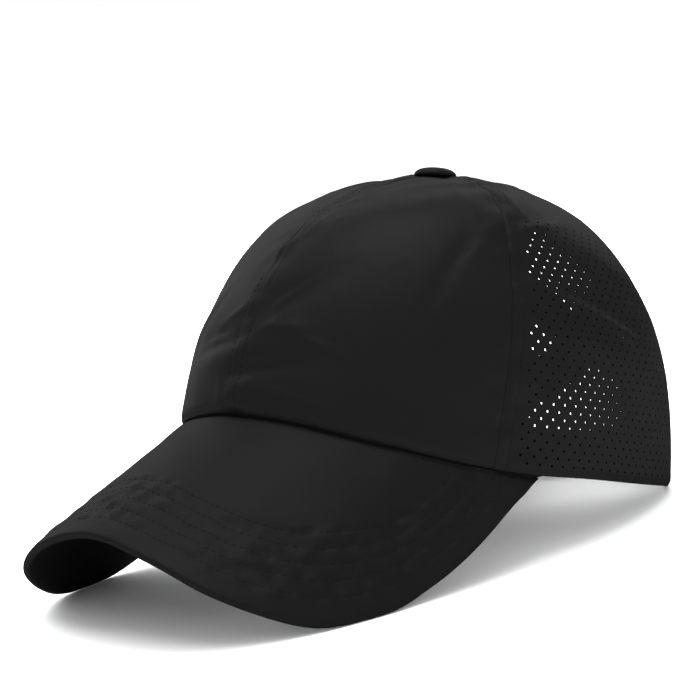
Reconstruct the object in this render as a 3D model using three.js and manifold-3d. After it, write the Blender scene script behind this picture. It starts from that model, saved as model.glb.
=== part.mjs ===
// A soft ponytail baseball cap: four cloth crown panels, a curved peak, a covered top button, a narrow
// sweatband, two crossing straps over the back opening and a hook-and-loop closure in two tabs.
// Millimetres. The cap is shaped in its own rim frame (front = -Y, the wearer's left = +X, the rim near
// z = 0), then leaned forward until the peak and the back edge stand on the floor at z = 0.
import * as THREE from "three";
import { mergeVertices } from "three/addons/utils/BufferGeometryUtils.js";
import Module from "manifold-3d";

const wasm = await Module();
wasm.setup();

// Head opening and crown.
const HEAD_WIDTH = 164;
const FRONT_DEPTH = 86;
const BACK_DEPTH = 99.5;
const CROWN_HEIGHT = 106.5;
const TOP_SHIFT = 1.8;
const FRONT_RISE = 17;
const FRONT_RISE_ANGLE = 88;
const PEAK_END_LIFT = 2;
const PEAK_END_SPREAD = 10;
const FRONT_ROUNDNESS = 2.0;
const SIDE_ROUNDNESS = 2.75;
const BACK_ROUNDNESS = 2.35;

// Cloth and the clearances between sewn pieces.
const CLOTH = 1.2;
const CLEARANCE = 0.3;
const PANEL_TOP_HOLE = 2.4;

// Front and side seams, in degrees round from the front.
const SEAM_ANGLE_LOW = 67.5;
const SEAM_ANGLE_HIGH = 75;
const SEAM_STRAIGHT_RISE = 60;

// Back opening for the ponytail.
const OPENING_WIDTH = 75;
const OPENING_TOP_BEHIND_BUTTON = 19;
const OPENING_POINTEDNESS = 0.7;
const OPENING_SIDE_ANGLE = 158;
const BACK_CORNER_RADIUS = 8;

// Perforations in the side panels.
const HOLE_DIAMETER = 1.4;
const HOLE_PITCH = 18;
const HOLE_ROW_PITCH = 9.2;
const FIELD_SEAM_MARGIN = 8;
const FIELD_LOW_MARGIN = 6;
const FIELD_EDGE_MARGIN = 9;
const FIELD_TOP_HEIGHT = 88;
const FIELD_MIDDLE_ANGLE = 110;
const HOLE_SIDES = 6;

// Peak.
const PEAK_PITCH = 37.5;
const PEAK_REACH = 70;
const PEAK_HALF_WIDTH = 84.3;
const PEAK_BOW = 57.3;
const PEAK_BOW_ROUND = 0.65;
const PEAK_THICKNESS = 3;
const PEAK_END_ANGLE = 78.6;
const PEAK_END_BLEND = 0.2;

// Button, sweatband, straps and closure.
const BUTTON_DIAMETER = 14;
const BUTTON_HEIGHT = 3.6;
const BUTTON_STEM = 3;
const BUTTON_SIDE = 1.1;
const BAND_HEIGHT = 14;
const BAND_END_ANGLE = 148;
const STRAP_WIDTH = 16;
const STRAP_THICKNESS = 1.2;
const STRAP_SEAM = 7;
const STRAP_SAG = 9;
const STRAP_SLACK_RISE = 1.5;
const STRAP_HIGH_RISE = 44.5;
const STRAP_CROSS_RISE = 33.5;
const STRAP_LOW_RISE = 17.5;
const TAB_WIDTH = 15;
const TAB_HEIGHT = 12.5;
const TAB_THICKNESS = 1.2;
const TAB_OVERLAP = 50;
const TAB_OFFSET = 4;
const TAB_BEND = 12;

// How much of each lowest edge is pressed flat by the cap's own weight.
const REST_FLAT = 0.3;

// The peak's outline, as shares of its half width and of its reach, from the middle to its end.
const PEAK_OUTLINE = [
  { across: 0, reach: 0.995 },
  { across: 0.4, reach: 1.024 },
  { across: 0.67, reach: 0.988 },
  { across: 0.87, reach: 0.81 },
  { across: 0.965, reach: 0.51 },
  { across: 0.995, reach: 0.17 },
  { across: 0.998, reach: -0.21 },
];

// Soft dents and folds: place in degrees round and up, depth, half length and half width as shares of
// the crown's height, and the turn of the long axis from level. A negative depth stands proud.
const FOLDS = [
  { round: 11, rise: 27, depth: 0.013, long: 0.17, wide: 0.06, turn: 42 },
  { round: -13, rise: 17, depth: 0.012, long: 0.15, wide: 0.055, turn: 12 },
  { round: 8, rise: 11, depth: 0.011, long: 0.2, wide: 0.05, turn: 8 },
  { round: 99, rise: 34, depth: 0.02, long: 0.3, wide: 0.09, turn: -18 },
  { round: 97, rise: 25, depth: -0.012, long: 0.26, wide: 0.07, turn: -16 },
  { round: -96, rise: 33, depth: 0.018, long: 0.28, wide: 0.09, turn: 16 },
  { round: 42, rise: 62, depth: 0.008, long: 0.3, wide: 0.1, turn: 20 },
  { round: -40, rise: 60, depth: 0.008, long: 0.3, wide: 0.1, turn: -24 },
  { round: 150, rise: 40, depth: 0.02, long: 0.22, wide: 0.16, turn: 80 },
  { round: -150, rise: 40, depth: 0.02, long: 0.22, wide: 0.16, turn: -80 },
];

const rad = THREE.MathUtils.degToRad;
const HALF_HEAD = HEAD_WIDTH / 2;

// Half width of the head opening's egg shape in a direction, measured from the middle of the head.
function planRadius(round) {
  const depth = Math.cos(rad(round)) > 0 ? FRONT_DEPTH : BACK_DEPTH;
  return 1 / Math.hypot(Math.sin(rad(round)) / HALF_HEAD, Math.cos(rad(round)) / depth);
}

// The rim arches up over the forehead, and a little where the peak ends.
function rimHeight(round) {
  const angle = Math.abs(round);
  const arch = angle < FRONT_RISE_ANGLE ? Math.cos(rad(90 * angle / FRONT_RISE_ANGLE)) ** 2 : 0;
  return FRONT_RISE * arch + PEAK_END_LIFT * Math.exp(-(((angle - PEAK_END_ANGLE) / PEAK_END_SPREAD) ** 2));
}

function roundness(round) {
  const c = Math.cos(rad(round));
  const end = c > 0 ? FRONT_ROUNDNESS : BACK_ROUNDNESS;
  return SIDE_ROUNDNESS + (end - SIDE_ROUNDNESS) * c * c;
}

// How far the folds push the cloth in at a place on the crown.
function foldDepth(round, rise) {
  let depth = 0;
  for (const fold of FOLDS) {
    const turned = THREE.MathUtils.euclideanModulo(round - fold.round + 180, 360) - 180;
    const along = rad(turned) * HALF_HEAD * Math.cos(rad(rise));
    const up = rad(rise - fold.rise) * CROWN_HEIGHT;
    const c = Math.cos(rad(fold.turn));
    const s = Math.sin(rad(fold.turn));
    const p = (along * c + up * s) / (fold.long * CROWN_HEIGHT);
    const q = (up * c - along * s) / (fold.wide * CROWN_HEIGHT);
    depth += fold.depth * CROWN_HEIGHT * Math.exp(-p * p - q * q);
  }
  return depth;
}

// The crown without folds: degrees round from the front, and degrees of rise from the rim to the top.
function bareCrown(round, rise) {
  const m = roundness(round);
  const c = Math.max(Math.cos(rad(rise)), 0);
  const s = Math.max(Math.sin(rad(rise)), 0);
  const scale = (c ** m + s ** m) ** (-1 / m);
  const low = rimHeight(round);
  const lift = (CROWN_HEIGHT - low) * scale * s;
  const reach = planRadius(round) * scale * c;
  const shift = TOP_SHIFT * lift / CROWN_HEIGHT;
  return new THREE.Vector3(reach * Math.sin(rad(round)), shift - reach * Math.cos(rad(round)), low + lift);
}

function crownNormal(round, rise) {
  const step = 0.5;
  const low = Math.min(rise, 89);
  const along = bareCrown(round + step, low).sub(bareCrown(round - step, low));
  const up = bareCrown(round, low + step).sub(bareCrown(round, low - step));
  return along.cross(up).normalize();
}

// A point at a depth inside the crown's outer face, folds included.
function crownPoint(round, rise, depth = 0) {
  const inwards = depth + foldDepth(round, rise);
  return bareCrown(round, rise).addScaledVector(crownNormal(round, rise), -inwards);
}

// The rise at which the crown reaches a height above its rim.
function riseAt(round, height) {
  const m = roundness(round);
  const share = height / (CROWN_HEIGHT - rimHeight(round));
  return THREE.MathUtils.radToDeg(Math.atan(share / (1 - share ** m) ** (1 / m)));
}

// The rise at which a level ring of the crown has a given reach from the middle.
function riseOfReach(round, reach) {
  const m = roundness(round);
  const share = reach / planRadius(round);
  return THREE.MathUtils.radToDeg(Math.atan((1 - share ** m) ** (1 / m) / share));
}

const OPENING_TOP_RISE = riseOfReach(180, OPENING_TOP_BEHIND_BUTTON);

// The back opening's edge: a pointed arch, as degrees from the back middle line.
function openingAngle(rise) {
  const share = Math.min(rise / OPENING_TOP_RISE, 1);
  const half = OPENING_WIDTH / 2 * (1 - share * share) ** OPENING_POINTEDNESS;
  const here = bareCrown(OPENING_SIDE_ANGLE, rise);
  return THREE.MathUtils.radToDeg(Math.asin(Math.min(half / Math.hypot(here.x, here.y), 1)));
}

function seamAngle(rise) {
  return SEAM_ANGLE_LOW + (SEAM_ANGLE_HIGH - SEAM_ANGLE_LOW) * Math.min(rise / SEAM_STRAIGHT_RISE, 1);
}

function clearanceAngle(rise) {
  const here = bareCrown(120, rise);
  return THREE.MathUtils.radToDeg(CLEARANCE / 2 / Math.hypot(here.x, here.y));
}

function smooth(share) {
  const t = Math.min(Math.max(share, 0), 1);
  return t * t * (3 - 2 * t);
}

function evenly(from, to, count) {
  return Array.from({ length: count + 1 }, (_, k) => from + (to - from) * k / count);
}

function geometryOf(points, faces) {
  const geometry = new THREE.BufferGeometry();
  const flat = points.flatMap((p) => [p.x, p.y, p.z]);
  geometry.setAttribute("position", new THREE.Float32BufferAttribute(flat, 3));
  geometry.setIndex(faces.flat());
  return geometry;
}

function enclosedVolume(points, faces) {
  let sum = 0;
  for (const [a, b, c] of faces) {
    sum += points[a].dot(points[b].clone().cross(points[c]));
  }
  return sum / 6;
}

// A closed body from faces that all turn the same way, turned outwards if need be.
function closedBody(points, faces) {
  const turned = enclosedVolume(points, faces) < 0 ? faces.map(([a, b, c]) => [a, c, b]) : faces;
  return geometryOf(points, turned);
}

// A sheet of cloth with thickness: outer and inner are functions of a row and a column.
function clothWall(rows, columns, outer, inner) {
  const points = [];
  const faces = [];
  const wide = columns + 1;
  const count = (rows + 1) * wide;
  for (const side of [outer, inner]) {
    for (let i = 0; i <= rows; i += 1) {
      for (let j = 0; j <= columns; j += 1) {
        points.push(side(i, j));
      }
    }
  }
  const quad = (a, b, c, d) => faces.push([a, b, c], [a, c, d]);
  for (let i = 0; i < rows; i += 1) {
    for (let j = 0; j < columns; j += 1) {
      const a = i * wide + j;
      quad(a, a + 1, a + wide + 1, a + wide);
      quad(count + a, count + a + wide, count + a + wide + 1, count + a + 1);
    }
  }
  const rim = [
    ...evenly(0, columns - 1, columns - 1),
    ...evenly(0, rows - 1, rows - 1).map((i) => i * wide + columns),
    ...evenly(columns, 1, columns - 1).map((j) => rows * wide + j),
    ...evenly(rows, 1, rows - 1).map((i) => i * wide),
  ];
  rim.forEach((a, k) => {
    const b = rim[(k + 1) % rim.length];
    quad(a, count + a, count + b, b);
  });
  return closedBody(points, faces);
}

// A body through closed rings of equal length, with flat fans at both ends.
function throughRings(rings) {
  const size = rings[0].length;
  const points = rings.flat();
  const faces = [];
  for (let i = 0; i + 1 < rings.length; i += 1) {
    for (let j = 0; j < size; j += 1) {
      const a = i * size + j;
      const b = i * size + (j + 1) % size;
      faces.push([a, b, b + size], [a, b + size, a + size]);
    }
  }
  for (const [ring, turn] of [[0, 1], [rings.length - 1, -1]]) {
    const middle = new THREE.Vector3();
    rings[ring].forEach((p) => middle.addScaledVector(p, 1 / size));
    const hub = points.push(middle) - 1;
    for (let j = 0; j < size; j += 1) {
      const a = ring * size + j;
      const b = ring * size + (j + 1) % size;
      faces.push(turn > 0 ? [hub, b, a] : [hub, a, b]);
    }
  }
  return closedBody(points, faces);
}

function toManifold(geometry) {
  const bare = geometry.clone();
  bare.deleteAttribute("normal");
  bare.deleteAttribute("uv");
  const merged = mergeVertices(bare, 1e-4);
  return new wasm.Manifold(new wasm.Mesh({
    numProp: 3,
    vertProperties: new Float32Array(merged.attributes.position.array),
    triVerts: new Uint32Array(merged.index.array),
  }));
}

function fromManifold(solid) {
  const mesh = solid.getMesh();
  const geometry = new THREE.BufferGeometry();
  geometry.setAttribute("position", new THREE.BufferAttribute(mesh.vertProperties, 3));
  geometry.setIndex(new THREE.BufferAttribute(mesh.triVerts, 1));
  return geometry;
}

const PANEL_TOP_RISE = riseOfReach(0, PANEL_TOP_HOLE);

// A crown panel between two edges, each a function of the rise; lowest gives its bottom edge's rise.
function crownPanel(rows, columns, firstEdge, lastEdge, lowest) {
  const at = (i, j, depth) => {
    let rise = rows[i];
    let round = 0;
    for (let pass = 0; pass < 3; pass += 1) {
      round = firstEdge(rise) + (lastEdge(rise) - firstEdge(rise)) * j / columns;
      rise = rows[i] + lowest(round, rise) * (1 - rows[i] / PANEL_TOP_RISE);
    }
    return crownPoint(round, rise, depth);
  };
  return clothWall(rows.length - 1, columns, (i, j) => at(i, j, 0), (i, j) => at(i, j, CLOTH));
}

function frontPanel(side) {
  const rows = evenly(0, PANEL_TOP_RISE, 14);
  const first = (rise) => side * clearanceAngle(rise);
  const last = (rise) => side * (seamAngle(rise) - clearanceAngle(rise));
  return crownPanel(rows, 11, first, last, () => 0);
}

// The panel's lower back corner is rounded: how much the bottom edge rises near the back edge.
function cornerRise(round, rise) {
  const toEdge = rad(180 - Math.abs(round) - openingAngle(rise)) * planRadius(round);
  const inside = Math.max(BACK_CORNER_RADIUS - toEdge, 0);
  const up = BACK_CORNER_RADIUS - Math.sqrt(Math.max(BACK_CORNER_RADIUS ** 2 - inside ** 2, 0));
  return riseAt(round, up);
}

// One level row of perforations on a ring of the crown, kept clear of the seam and of the opening's edge.
function perforationRow(rise, ring, offset) {
  const back = 180 - openingAngle(rise) - THREE.MathUtils.radToDeg(FIELD_EDGE_MARGIN / ring);
  const front = seamAngle(rise) + THREE.MathUtils.radToDeg(FIELD_SEAM_MARGIN / ring);
  const reach = Math.ceil(ring * Math.PI / HOLE_PITCH);
  return evenly(-reach, reach, 2 * reach)
    .map((k) => FIELD_MIDDLE_ANGLE + THREE.MathUtils.radToDeg((k + offset) * HOLE_PITCH / ring))
    .filter((round) => round > front && round < back)
    .map((round) => ({ round, rise }));
}

// The rows of the perforated field, each staggered by half a pitch from the one below.
function perforationPlaces() {
  const places = [];
  const start = bareCrown(FIELD_MIDDLE_ANGLE, 0);
  let climbed = 0;
  let row = 0;
  let last = start;
  for (let rise = 0.5; rise < OPENING_TOP_RISE; rise += 0.5) {
    const here = bareCrown(FIELD_MIDDLE_ANGLE, rise);
    climbed += here.distanceTo(last);
    last = here;
    if (here.z < FIELD_TOP_HEIGHT && climbed >= FIELD_LOW_MARGIN + row * HOLE_ROW_PITCH) {
      places.push(...perforationRow(rise, Math.hypot(here.x, here.y), row % 2 / 2));
      row += 1;
    }
  }
  return places;
}

function perforate(panel, side) {
  const length = 6 * CLOTH;
  const cutters = perforationPlaces().map(({ round, rise }) => {
    const drill = new THREE.CylinderGeometry(HOLE_DIAMETER / 2, HOLE_DIAMETER / 2, length, HOLE_SIDES);
    const normal = crownNormal(side * round, rise);
    drill.applyQuaternion(new THREE.Quaternion().setFromUnitVectors(new THREE.Vector3(0, 1, 0), normal));
    const place = crownPoint(side * round, rise, CLOTH / 2);
    drill.translate(place.x, place.y, place.z);
    return toManifold(drill);
  });
  return fromManifold(toManifold(panel).subtract(wasm.Manifold.union(cutters)));
}

function sidePanel(side) {
  const low = evenly(0, OPENING_TOP_RISE, 13);
  const high = evenly(OPENING_TOP_RISE, PANEL_TOP_RISE, 2).slice(1);
  const first = (rise) => side * (seamAngle(rise) + clearanceAngle(rise));
  const last = (rise) => side * (180 - Math.max(openingAngle(rise), clearanceAngle(rise)));
  return perforate(crownPanel([...low, ...high], 11, first, last, cornerRise), side);
}

// The peak's flat pattern is bowed down at both sides and pitched down from the forehead.
function peakSheet(across, reach) {
  const share = across / PEAK_HALF_WIDTH;
  const bow = -PEAK_BOW * (PEAK_BOW_ROUND * share ** 2 + (1 - PEAK_BOW_ROUND) * share ** 4);
  const c = Math.cos(rad(PEAK_PITCH));
  const s = Math.sin(rad(PEAK_PITCH));
  return new THREE.Vector3(across, -FRONT_DEPTH - reach * c - bow * s, FRONT_RISE - reach * s + bow * c);
}

// Where a point of the rim's plan falls on the peak's sheet.
function peakReachOf(point) {
  const bow = peakSheet(point.x, 0).y + FRONT_DEPTH;
  return (-FRONT_DEPTH - point.y + bow) / Math.cos(rad(PEAK_PITCH));
}

const peakEnd = bareCrown(PEAK_END_ANGLE, 0);
const peakCurve = new THREE.CatmullRomCurve3([
  ...PEAK_OUTLINE.slice(1).reverse().map((row) => ({ ...row, across: -row.across })),
  ...PEAK_OUTLINE,
].map((row) => new THREE.Vector3(row.across * PEAK_HALF_WIDTH, row.reach * PEAK_REACH, 0)));
peakCurve.points.unshift(new THREE.Vector3(-peakEnd.x - CLOTH, peakReachOf(peakEnd), 0));
peakCurve.points.push(new THREE.Vector3(peakEnd.x + CLOTH, peakReachOf(peakEnd), 0));

// The peak's upper face: u runs from one end to the other, v from the rim to the outer edge.
function peakTop(u, v) {
  const round = PEAK_END_ANGLE * u;
  const rim = bareCrown(round, 0);
  const start = new THREE.Vector3(rim.x, peakReachOf(rim), 0);
  const flat = start.clone().lerp(peakCurve.getPointAt((u + 1) / 2), v);
  const drop = rimHeight(round) - CLEARANCE - peakSheet(start.x, start.y).z;
  const nearEnd = smooth(1 - (1 - Math.abs(u)) / PEAK_END_BLEND);
  const share = nearEnd + (1 - nearEnd) * (1 - v) ** 2;
  return peakSheet(flat.x, flat.y).add(new THREE.Vector3(0, 0, drop * share));
}

function peakNormal(u, v) {
  const step = 0.01;
  const u0 = Math.min(Math.max(u, -0.97), 0.97);
  const v0 = Math.min(Math.max(v, 0.02), 0.98);
  const along = peakTop(u0 + step, v0).sub(peakTop(u0 - step, v0));
  const out = peakTop(u0, v0 + step).sub(peakTop(u0, v0 - step));
  const normal = along.cross(out).normalize();
  return normal.z < 0 ? normal.negate() : normal;
}

function peak() {
  const steps = 36;
  const rows = [0, 0.1, 0.25, 0.4, 0.55, 0.7, 0.82, 0.92, 0.98];
  const rings = evenly(-1, 1, steps).map((u) => {
    const under = (v) => peakTop(u, v).addScaledVector(peakNormal(u, v), -PEAK_THICKNESS);
    const round = PEAK_END_ANGLE * u;
    const inner = bareCrown(round, 0).addScaledVector(crownNormal(round, 0), -CLOTH);
    inner.z = rimHeight(round) - CLEARANCE;
    const innerLow = inner.clone().setZ(Math.min(under(0).z, inner.z - PEAK_THICKNESS / 2));
    const edge = peakTop(u, 1).addScaledVector(peakNormal(u, 1), -PEAK_THICKNESS / 2);
    return [
      inner,
      ...rows.map((v) => peakTop(u, v)),
      edge,
      ...rows.slice(1).reverse().map((v) => under(v)),
      innerLow,
    ];
  });
  return throughRings(rings);
}

function button() {
  const radius = BUTTON_DIAMETER / 2;
  const dome = evenly(0, 90, 5).map((angle) => new THREE.Vector2(
    radius * Math.cos(rad(angle)) ** 0.8,
    BUTTON_SIDE + (BUTTON_HEIGHT - BUTTON_SIDE) * Math.sin(rad(angle)),
  ));
  dome[dome.length - 1].x = 0;
  const profile = [
    new THREE.Vector2(0, -BUTTON_STEM),
    new THREE.Vector2(PANEL_TOP_HOLE - 2 * CLEARANCE, -BUTTON_STEM),
    new THREE.Vector2(PANEL_TOP_HOLE - 2 * CLEARANCE, 0),
    new THREE.Vector2(radius - CLEARANCE, 0),
    ...dome,
  ];
  const geometry = new THREE.LatheGeometry(profile, 20);
  geometry.rotateX(Math.PI / 2);
  geometry.translate(0, TOP_SHIFT, CROWN_HEIGHT + CLEARANCE);
  return geometry;
}

function sweatband() {
  const low = (round) => riseAt(round, CLEARANCE);
  const high = (round) => riseAt(round, BAND_HEIGHT);
  const columns = evenly(-BAND_END_ANGLE, BAND_END_ANGLE, 44);
  const at = (i, j, depth) => {
    const rise = low(columns[j]) + (high(columns[j]) - low(columns[j])) * i / 2;
    return crownPoint(columns[j], rise, depth);
  };
  const outer = CLOTH + CLEARANCE;
  return clothWall(2, columns.length - 1, (i, j) => at(i, j, outer), (i, j) => at(i, j, outer + CLOTH));
}

// A flat strap along a curve of points with the cloth's outward normals.
function strap(path, width, thickness) {
  const rings = path.map(({ point, normal }, k) => {
    const before = path[Math.max(k - 1, 0)].point;
    const after = path[Math.min(k + 1, path.length - 1)].point;
    const along = after.clone().sub(before).normalize();
    const across = normal.clone().cross(along).normalize();
    const out = along.clone().cross(across).normalize();
    const corner = (a, b) => point.clone().addScaledVector(across, a * width / 2)
      .addScaledVector(out, b * thickness / 2);
    return [corner(-1, -1), corner(1, -1), corner(1, 1), corner(-1, 1)];
  });
  return throughRings(rings);
}

const sewnAngle = THREE.MathUtils.radToDeg(STRAP_SEAM / planRadius(OPENING_SIDE_ANGLE));

// A flat strap lies a little deeper in the round crown, so that its edges clear the cloth as well.
function sewnDepthOf(width, thickness) {
  return CLOTH + 3 * CLEARANCE + thickness / 2 + width ** 2 / 8 / HALF_HEAD;
}

// One cross strap, from high on one side of the opening to low on the other; layer 1 lies on top.
function crossStrap(side, layer) {
  const start = -openingAngle(STRAP_HIGH_RISE) - sewnAngle;
  const end = openingAngle(STRAP_LOW_RISE) + sewnAngle;
  const rise = new THREE.CatmullRomCurve3([
    new THREE.Vector3(start, STRAP_HIGH_RISE, 0),
    new THREE.Vector3(start / 2, (STRAP_HIGH_RISE + STRAP_CROSS_RISE) / 2, 0),
    new THREE.Vector3(0, STRAP_CROSS_RISE, 0),
    new THREE.Vector3(end / 2, (STRAP_LOW_RISE + STRAP_CROSS_RISE) / 2 - STRAP_SLACK_RISE, 0),
    new THREE.Vector3(end, STRAP_LOW_RISE, 0),
  ]);
  const path = evenly(0, 1, 24).map((t) => {
    const here = rise.getPoint(t);
    const round = 180 + side * here.x;
    const inEdge = Math.min(here.x - start, end - here.x) / sewnAngle / 4;
    const middle = smooth(Math.min(inEdge, 1));
    const sag = STRAP_SAG * Math.cos(Math.PI / 2 * here.x / Math.max(end, -start)) ** 2;
    const depth = sewnDepthOf(STRAP_WIDTH, STRAP_THICKNESS)
      + middle * (sag - layer * (STRAP_THICKNESS + 2 * CLEARANCE));
    return { point: crownPoint(round, here.y, depth), normal: crownNormal(round, here.y) };
  });
  return strap(path, STRAP_WIDTH, STRAP_THICKNESS);
}

// A closure tab at a steady height, from one side of the opening towards the other.
function closureTab(from, to, depthAt) {
  const path = evenly(from, to, 22).map((offset) => {
    const round = 180 + offset;
    const rise = riseAt(round, TAB_HEIGHT);
    return { point: crownPoint(round, rise, depthAt(offset)), normal: crownNormal(round, rise) };
  });
  return strap(path, TAB_WIDTH, TAB_THICKNESS);
}

const tabEdge = openingAngle(riseAt(OPENING_SIDE_ANGLE, TAB_HEIGHT));
const tabHalfOverlap = THREE.MathUtils.radToDeg(TAB_OVERLAP / 2 / BACK_DEPTH);
const tabOffset = THREE.MathUtils.radToDeg(TAB_OFFSET / BACK_DEPTH);
const sewnDepth = sewnDepthOf(TAB_WIDTH, TAB_THICKNESS);
const layerStep = TAB_THICKNESS + CLEARANCE;

function outerTab() {
  return closureTab(-tabEdge - sewnAngle, tabOffset + tabHalfOverlap, () => sewnDepth);
}

function innerTab() {
  const bend = THREE.MathUtils.radToDeg(TAB_BEND / BACK_DEPTH);
  const depthAt = (offset) => sewnDepth + layerStep
    * (1 - smooth((offset - tabOffset - tabHalfOverlap) / bend));
  return closureTab(tabEdge + sewnAngle, tabOffset - tabHalfOverlap, depthAt);
}

function cloth(color, roughness) {
  return new THREE.MeshStandardMaterial({ color, roughness, metalness: 0 });
}

const shell = cloth(0x202123, 0.75);
const webbing = cloth(0x1b1c1e, 0.85);
const lining = cloth(0x161617, 0.9);

const pieces = [
  { name: "front_panel_left", geometry: frontPanel(1), material: shell },
  { name: "front_panel_right", geometry: frontPanel(-1), material: shell },
  { name: "side_panel_left", geometry: sidePanel(1), material: shell },
  { name: "side_panel_right", geometry: sidePanel(-1), material: shell },
  { name: "peak", geometry: peak(), material: shell },
  { name: "top_button", geometry: button(), material: shell },
  { name: "sweatband", geometry: sweatband(), material: lining },
  { name: "cross_strap_upper", geometry: crossStrap(1, 1), material: webbing },
  { name: "cross_strap_lower", geometry: crossStrap(-1, 0), material: webbing },
  { name: "closure_tab_outer", geometry: outerTab(), material: webbing },
  { name: "closure_tab_inner", geometry: innerTab(), material: webbing },
];

function lowest(geometry, lean) {
  const turned = geometry.clone().rotateX(-lean);
  turned.computeBoundingBox();
  return turned.boundingBox.min.z;
}

// The lean at which the peak and the back corners reach the floor together.
function restingLean(front, back) {
  let low = 0;
  let high = 0.8;
  for (let k = 0; k < 40; k += 1) {
    const middle = (low + high) / 2;
    if (lowest(front, middle) < lowest(back, middle)) {
      low = middle;
    } else {
      high = middle;
    }
  }
  return (low + high) / 2;
}

const geometryNamed = (name) => pieces.find((piece) => piece.name === name).geometry;
const lean = restingLean(geometryNamed("peak"), geometryNamed("side_panel_left"));
const floorHeight = lowest(geometryNamed("peak"), lean) + REST_FLAT;

// The cloth is pressed flat where the cap stands: what would reach under the floor is trimmed off.
function trimAtFloor(geometry) {
  const under = new THREE.BoxGeometry(4 * HEAD_WIDTH, 6 * HEAD_WIDTH, CROWN_HEIGHT);
  under.translate(0, 0, floorHeight - CROWN_HEIGHT / 2);
  under.rotateX(lean);
  return fromManifold(toManifold(geometry).subtract(toManifold(under)));
}

const cap = new THREE.Group();
const leaning = new THREE.Group();
leaning.rotation.x = -lean;
cap.add(leaning);
for (const { name, geometry, material } of pieces) {
  const body = lowest(geometry, lean) < floorHeight ? trimAtFloor(geometry) : geometry;
  const mesh = new THREE.Mesh(body, material);
  mesh.name = name;
  leaning.add(mesh);
}

cap.updateMatrixWorld(true);
const box = new THREE.Box3().setFromObject(cap, true);
leaning.position.set(-(box.min.x + box.max.x) / 2, -(box.min.y + box.max.y) / 2, -floorHeight);

export default cap;
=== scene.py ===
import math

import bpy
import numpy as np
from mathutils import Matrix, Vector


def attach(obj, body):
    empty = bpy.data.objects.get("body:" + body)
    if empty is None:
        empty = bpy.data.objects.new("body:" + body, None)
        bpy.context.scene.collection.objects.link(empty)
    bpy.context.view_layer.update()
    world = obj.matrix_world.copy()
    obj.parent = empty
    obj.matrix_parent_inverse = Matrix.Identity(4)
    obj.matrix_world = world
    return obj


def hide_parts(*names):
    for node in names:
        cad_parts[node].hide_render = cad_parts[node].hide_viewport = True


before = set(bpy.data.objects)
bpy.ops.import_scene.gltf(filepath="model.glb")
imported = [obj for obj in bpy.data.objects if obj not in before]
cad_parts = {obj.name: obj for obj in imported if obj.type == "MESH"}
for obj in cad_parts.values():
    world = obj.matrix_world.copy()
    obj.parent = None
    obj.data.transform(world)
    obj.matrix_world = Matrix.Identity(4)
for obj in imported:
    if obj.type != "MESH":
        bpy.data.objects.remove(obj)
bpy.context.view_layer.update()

# %% [markdown]
# # A ponytail baseball cap
# The cap is thin black polyester: two plain front panels, one perforated panel at each side, a stitched
# peak, a covered button, a sweatband, two crossing straps and a hook-and-loop closure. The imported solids
# have the same pieces in the same places. Every one of them is made again here from the same few formulas,
# much finer, so that its folds, seams, stitches and punched holes are real geometry.

# %% [markdown]
# ## Sizes
# All lengths are metres and all angles degrees. The crown is described in its own rim frame, in which the
# rim lies near z = 0, because a cap is cut and sewn that way. The cap then leans forward until it stands. A
# turn is an angle round the crown from the front, and a rise an angle up from the rim.

# %% Sizes shared with the solids
HALF_HEAD = 0.082
FRONT_DEPTH = 0.086
BACK_DEPTH = 0.0995
CROWN_HEIGHT = 0.1065
TOP_SHIFT = 0.0018
FRONT_RISE = 0.017
FRONT_RISE_ANGLE = 88.0
PEAK_END_ANGLE = 78.6
FRONT_ROUNDNESS, SIDE_ROUNDNESS, BACK_ROUNDNESS = 2.0, 2.75, 2.35
SEAM_ANGLE_LOW, SEAM_ANGLE_HIGH, SEAM_STRAIGHT_RISE = 67.5, 75.0, 60.0
OPENING_WIDTH = 0.075
OPENING_TOP_BEHIND_BUTTON = 0.019
OPENING_POINTEDNESS = 0.7
OPENING_SIDE_ANGLE = 158.0
BACK_CORNER_RADIUS = 0.008
PANEL_TOP_HOLE = 0.0024
REST_LEAN = 16.0
REST_FORWARD = 0.02213
REST_UP = 0.02185

# %% Sizes that only the finished cloth has
CLOTH = 0.0006
HEM = 0.0005
HEM_WIDTH = 0.006
HEM_FALL = 0.0006
SEAM_GAP = 0.0001
GRID = 0.0015
SIDE_LIFT = 0.0012
SIDE_LIFT_ANGLE = 88.0
SIDE_LIFT_SPREAD = 28.0
FLOOR_PRESS = 0.0006


def lean(vectors):
    """Turns directions of the rim frame to where they point when the cap stands by itself."""
    x, y, z = np.moveaxis(np.asarray(vectors, float), -1, 0)
    c, s = math.cos(math.radians(REST_LEAN)), math.sin(math.radians(REST_LEAN))
    return np.stack([x, y * c + z * s, z * c - y * s], -1)


def stand(points):
    """Takes points of the rim frame to the standing cap, whose lowest cloth is pressed up by the floor."""
    placed = lean(points) + [0, REST_FORWARD, REST_UP]
    height = placed[..., 2]
    placed[..., 2] = (height + np.hypot(height, FLOOR_PRESS)) / 2
    return placed


# %% [markdown]
# ## The crown as a formula
# A crown could be sculpted, but a formula keeps all its pieces on one surface: a panel, its hem, its
# stitches and its holes only ask for a place. The plan is an egg shape, and each upright section is a
# superellipse whose exponent is larger at the sides, where a cap is fuller.

# %% The bare crown
def plan_radius(turn):
    """Half width of the head opening in a direction."""
    depth = np.where(np.cos(np.radians(turn)) > 0, FRONT_DEPTH, BACK_DEPTH)
    return 1 / np.hypot(np.sin(np.radians(turn)) / HALF_HEAD, np.cos(np.radians(turn)) / depth)


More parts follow.
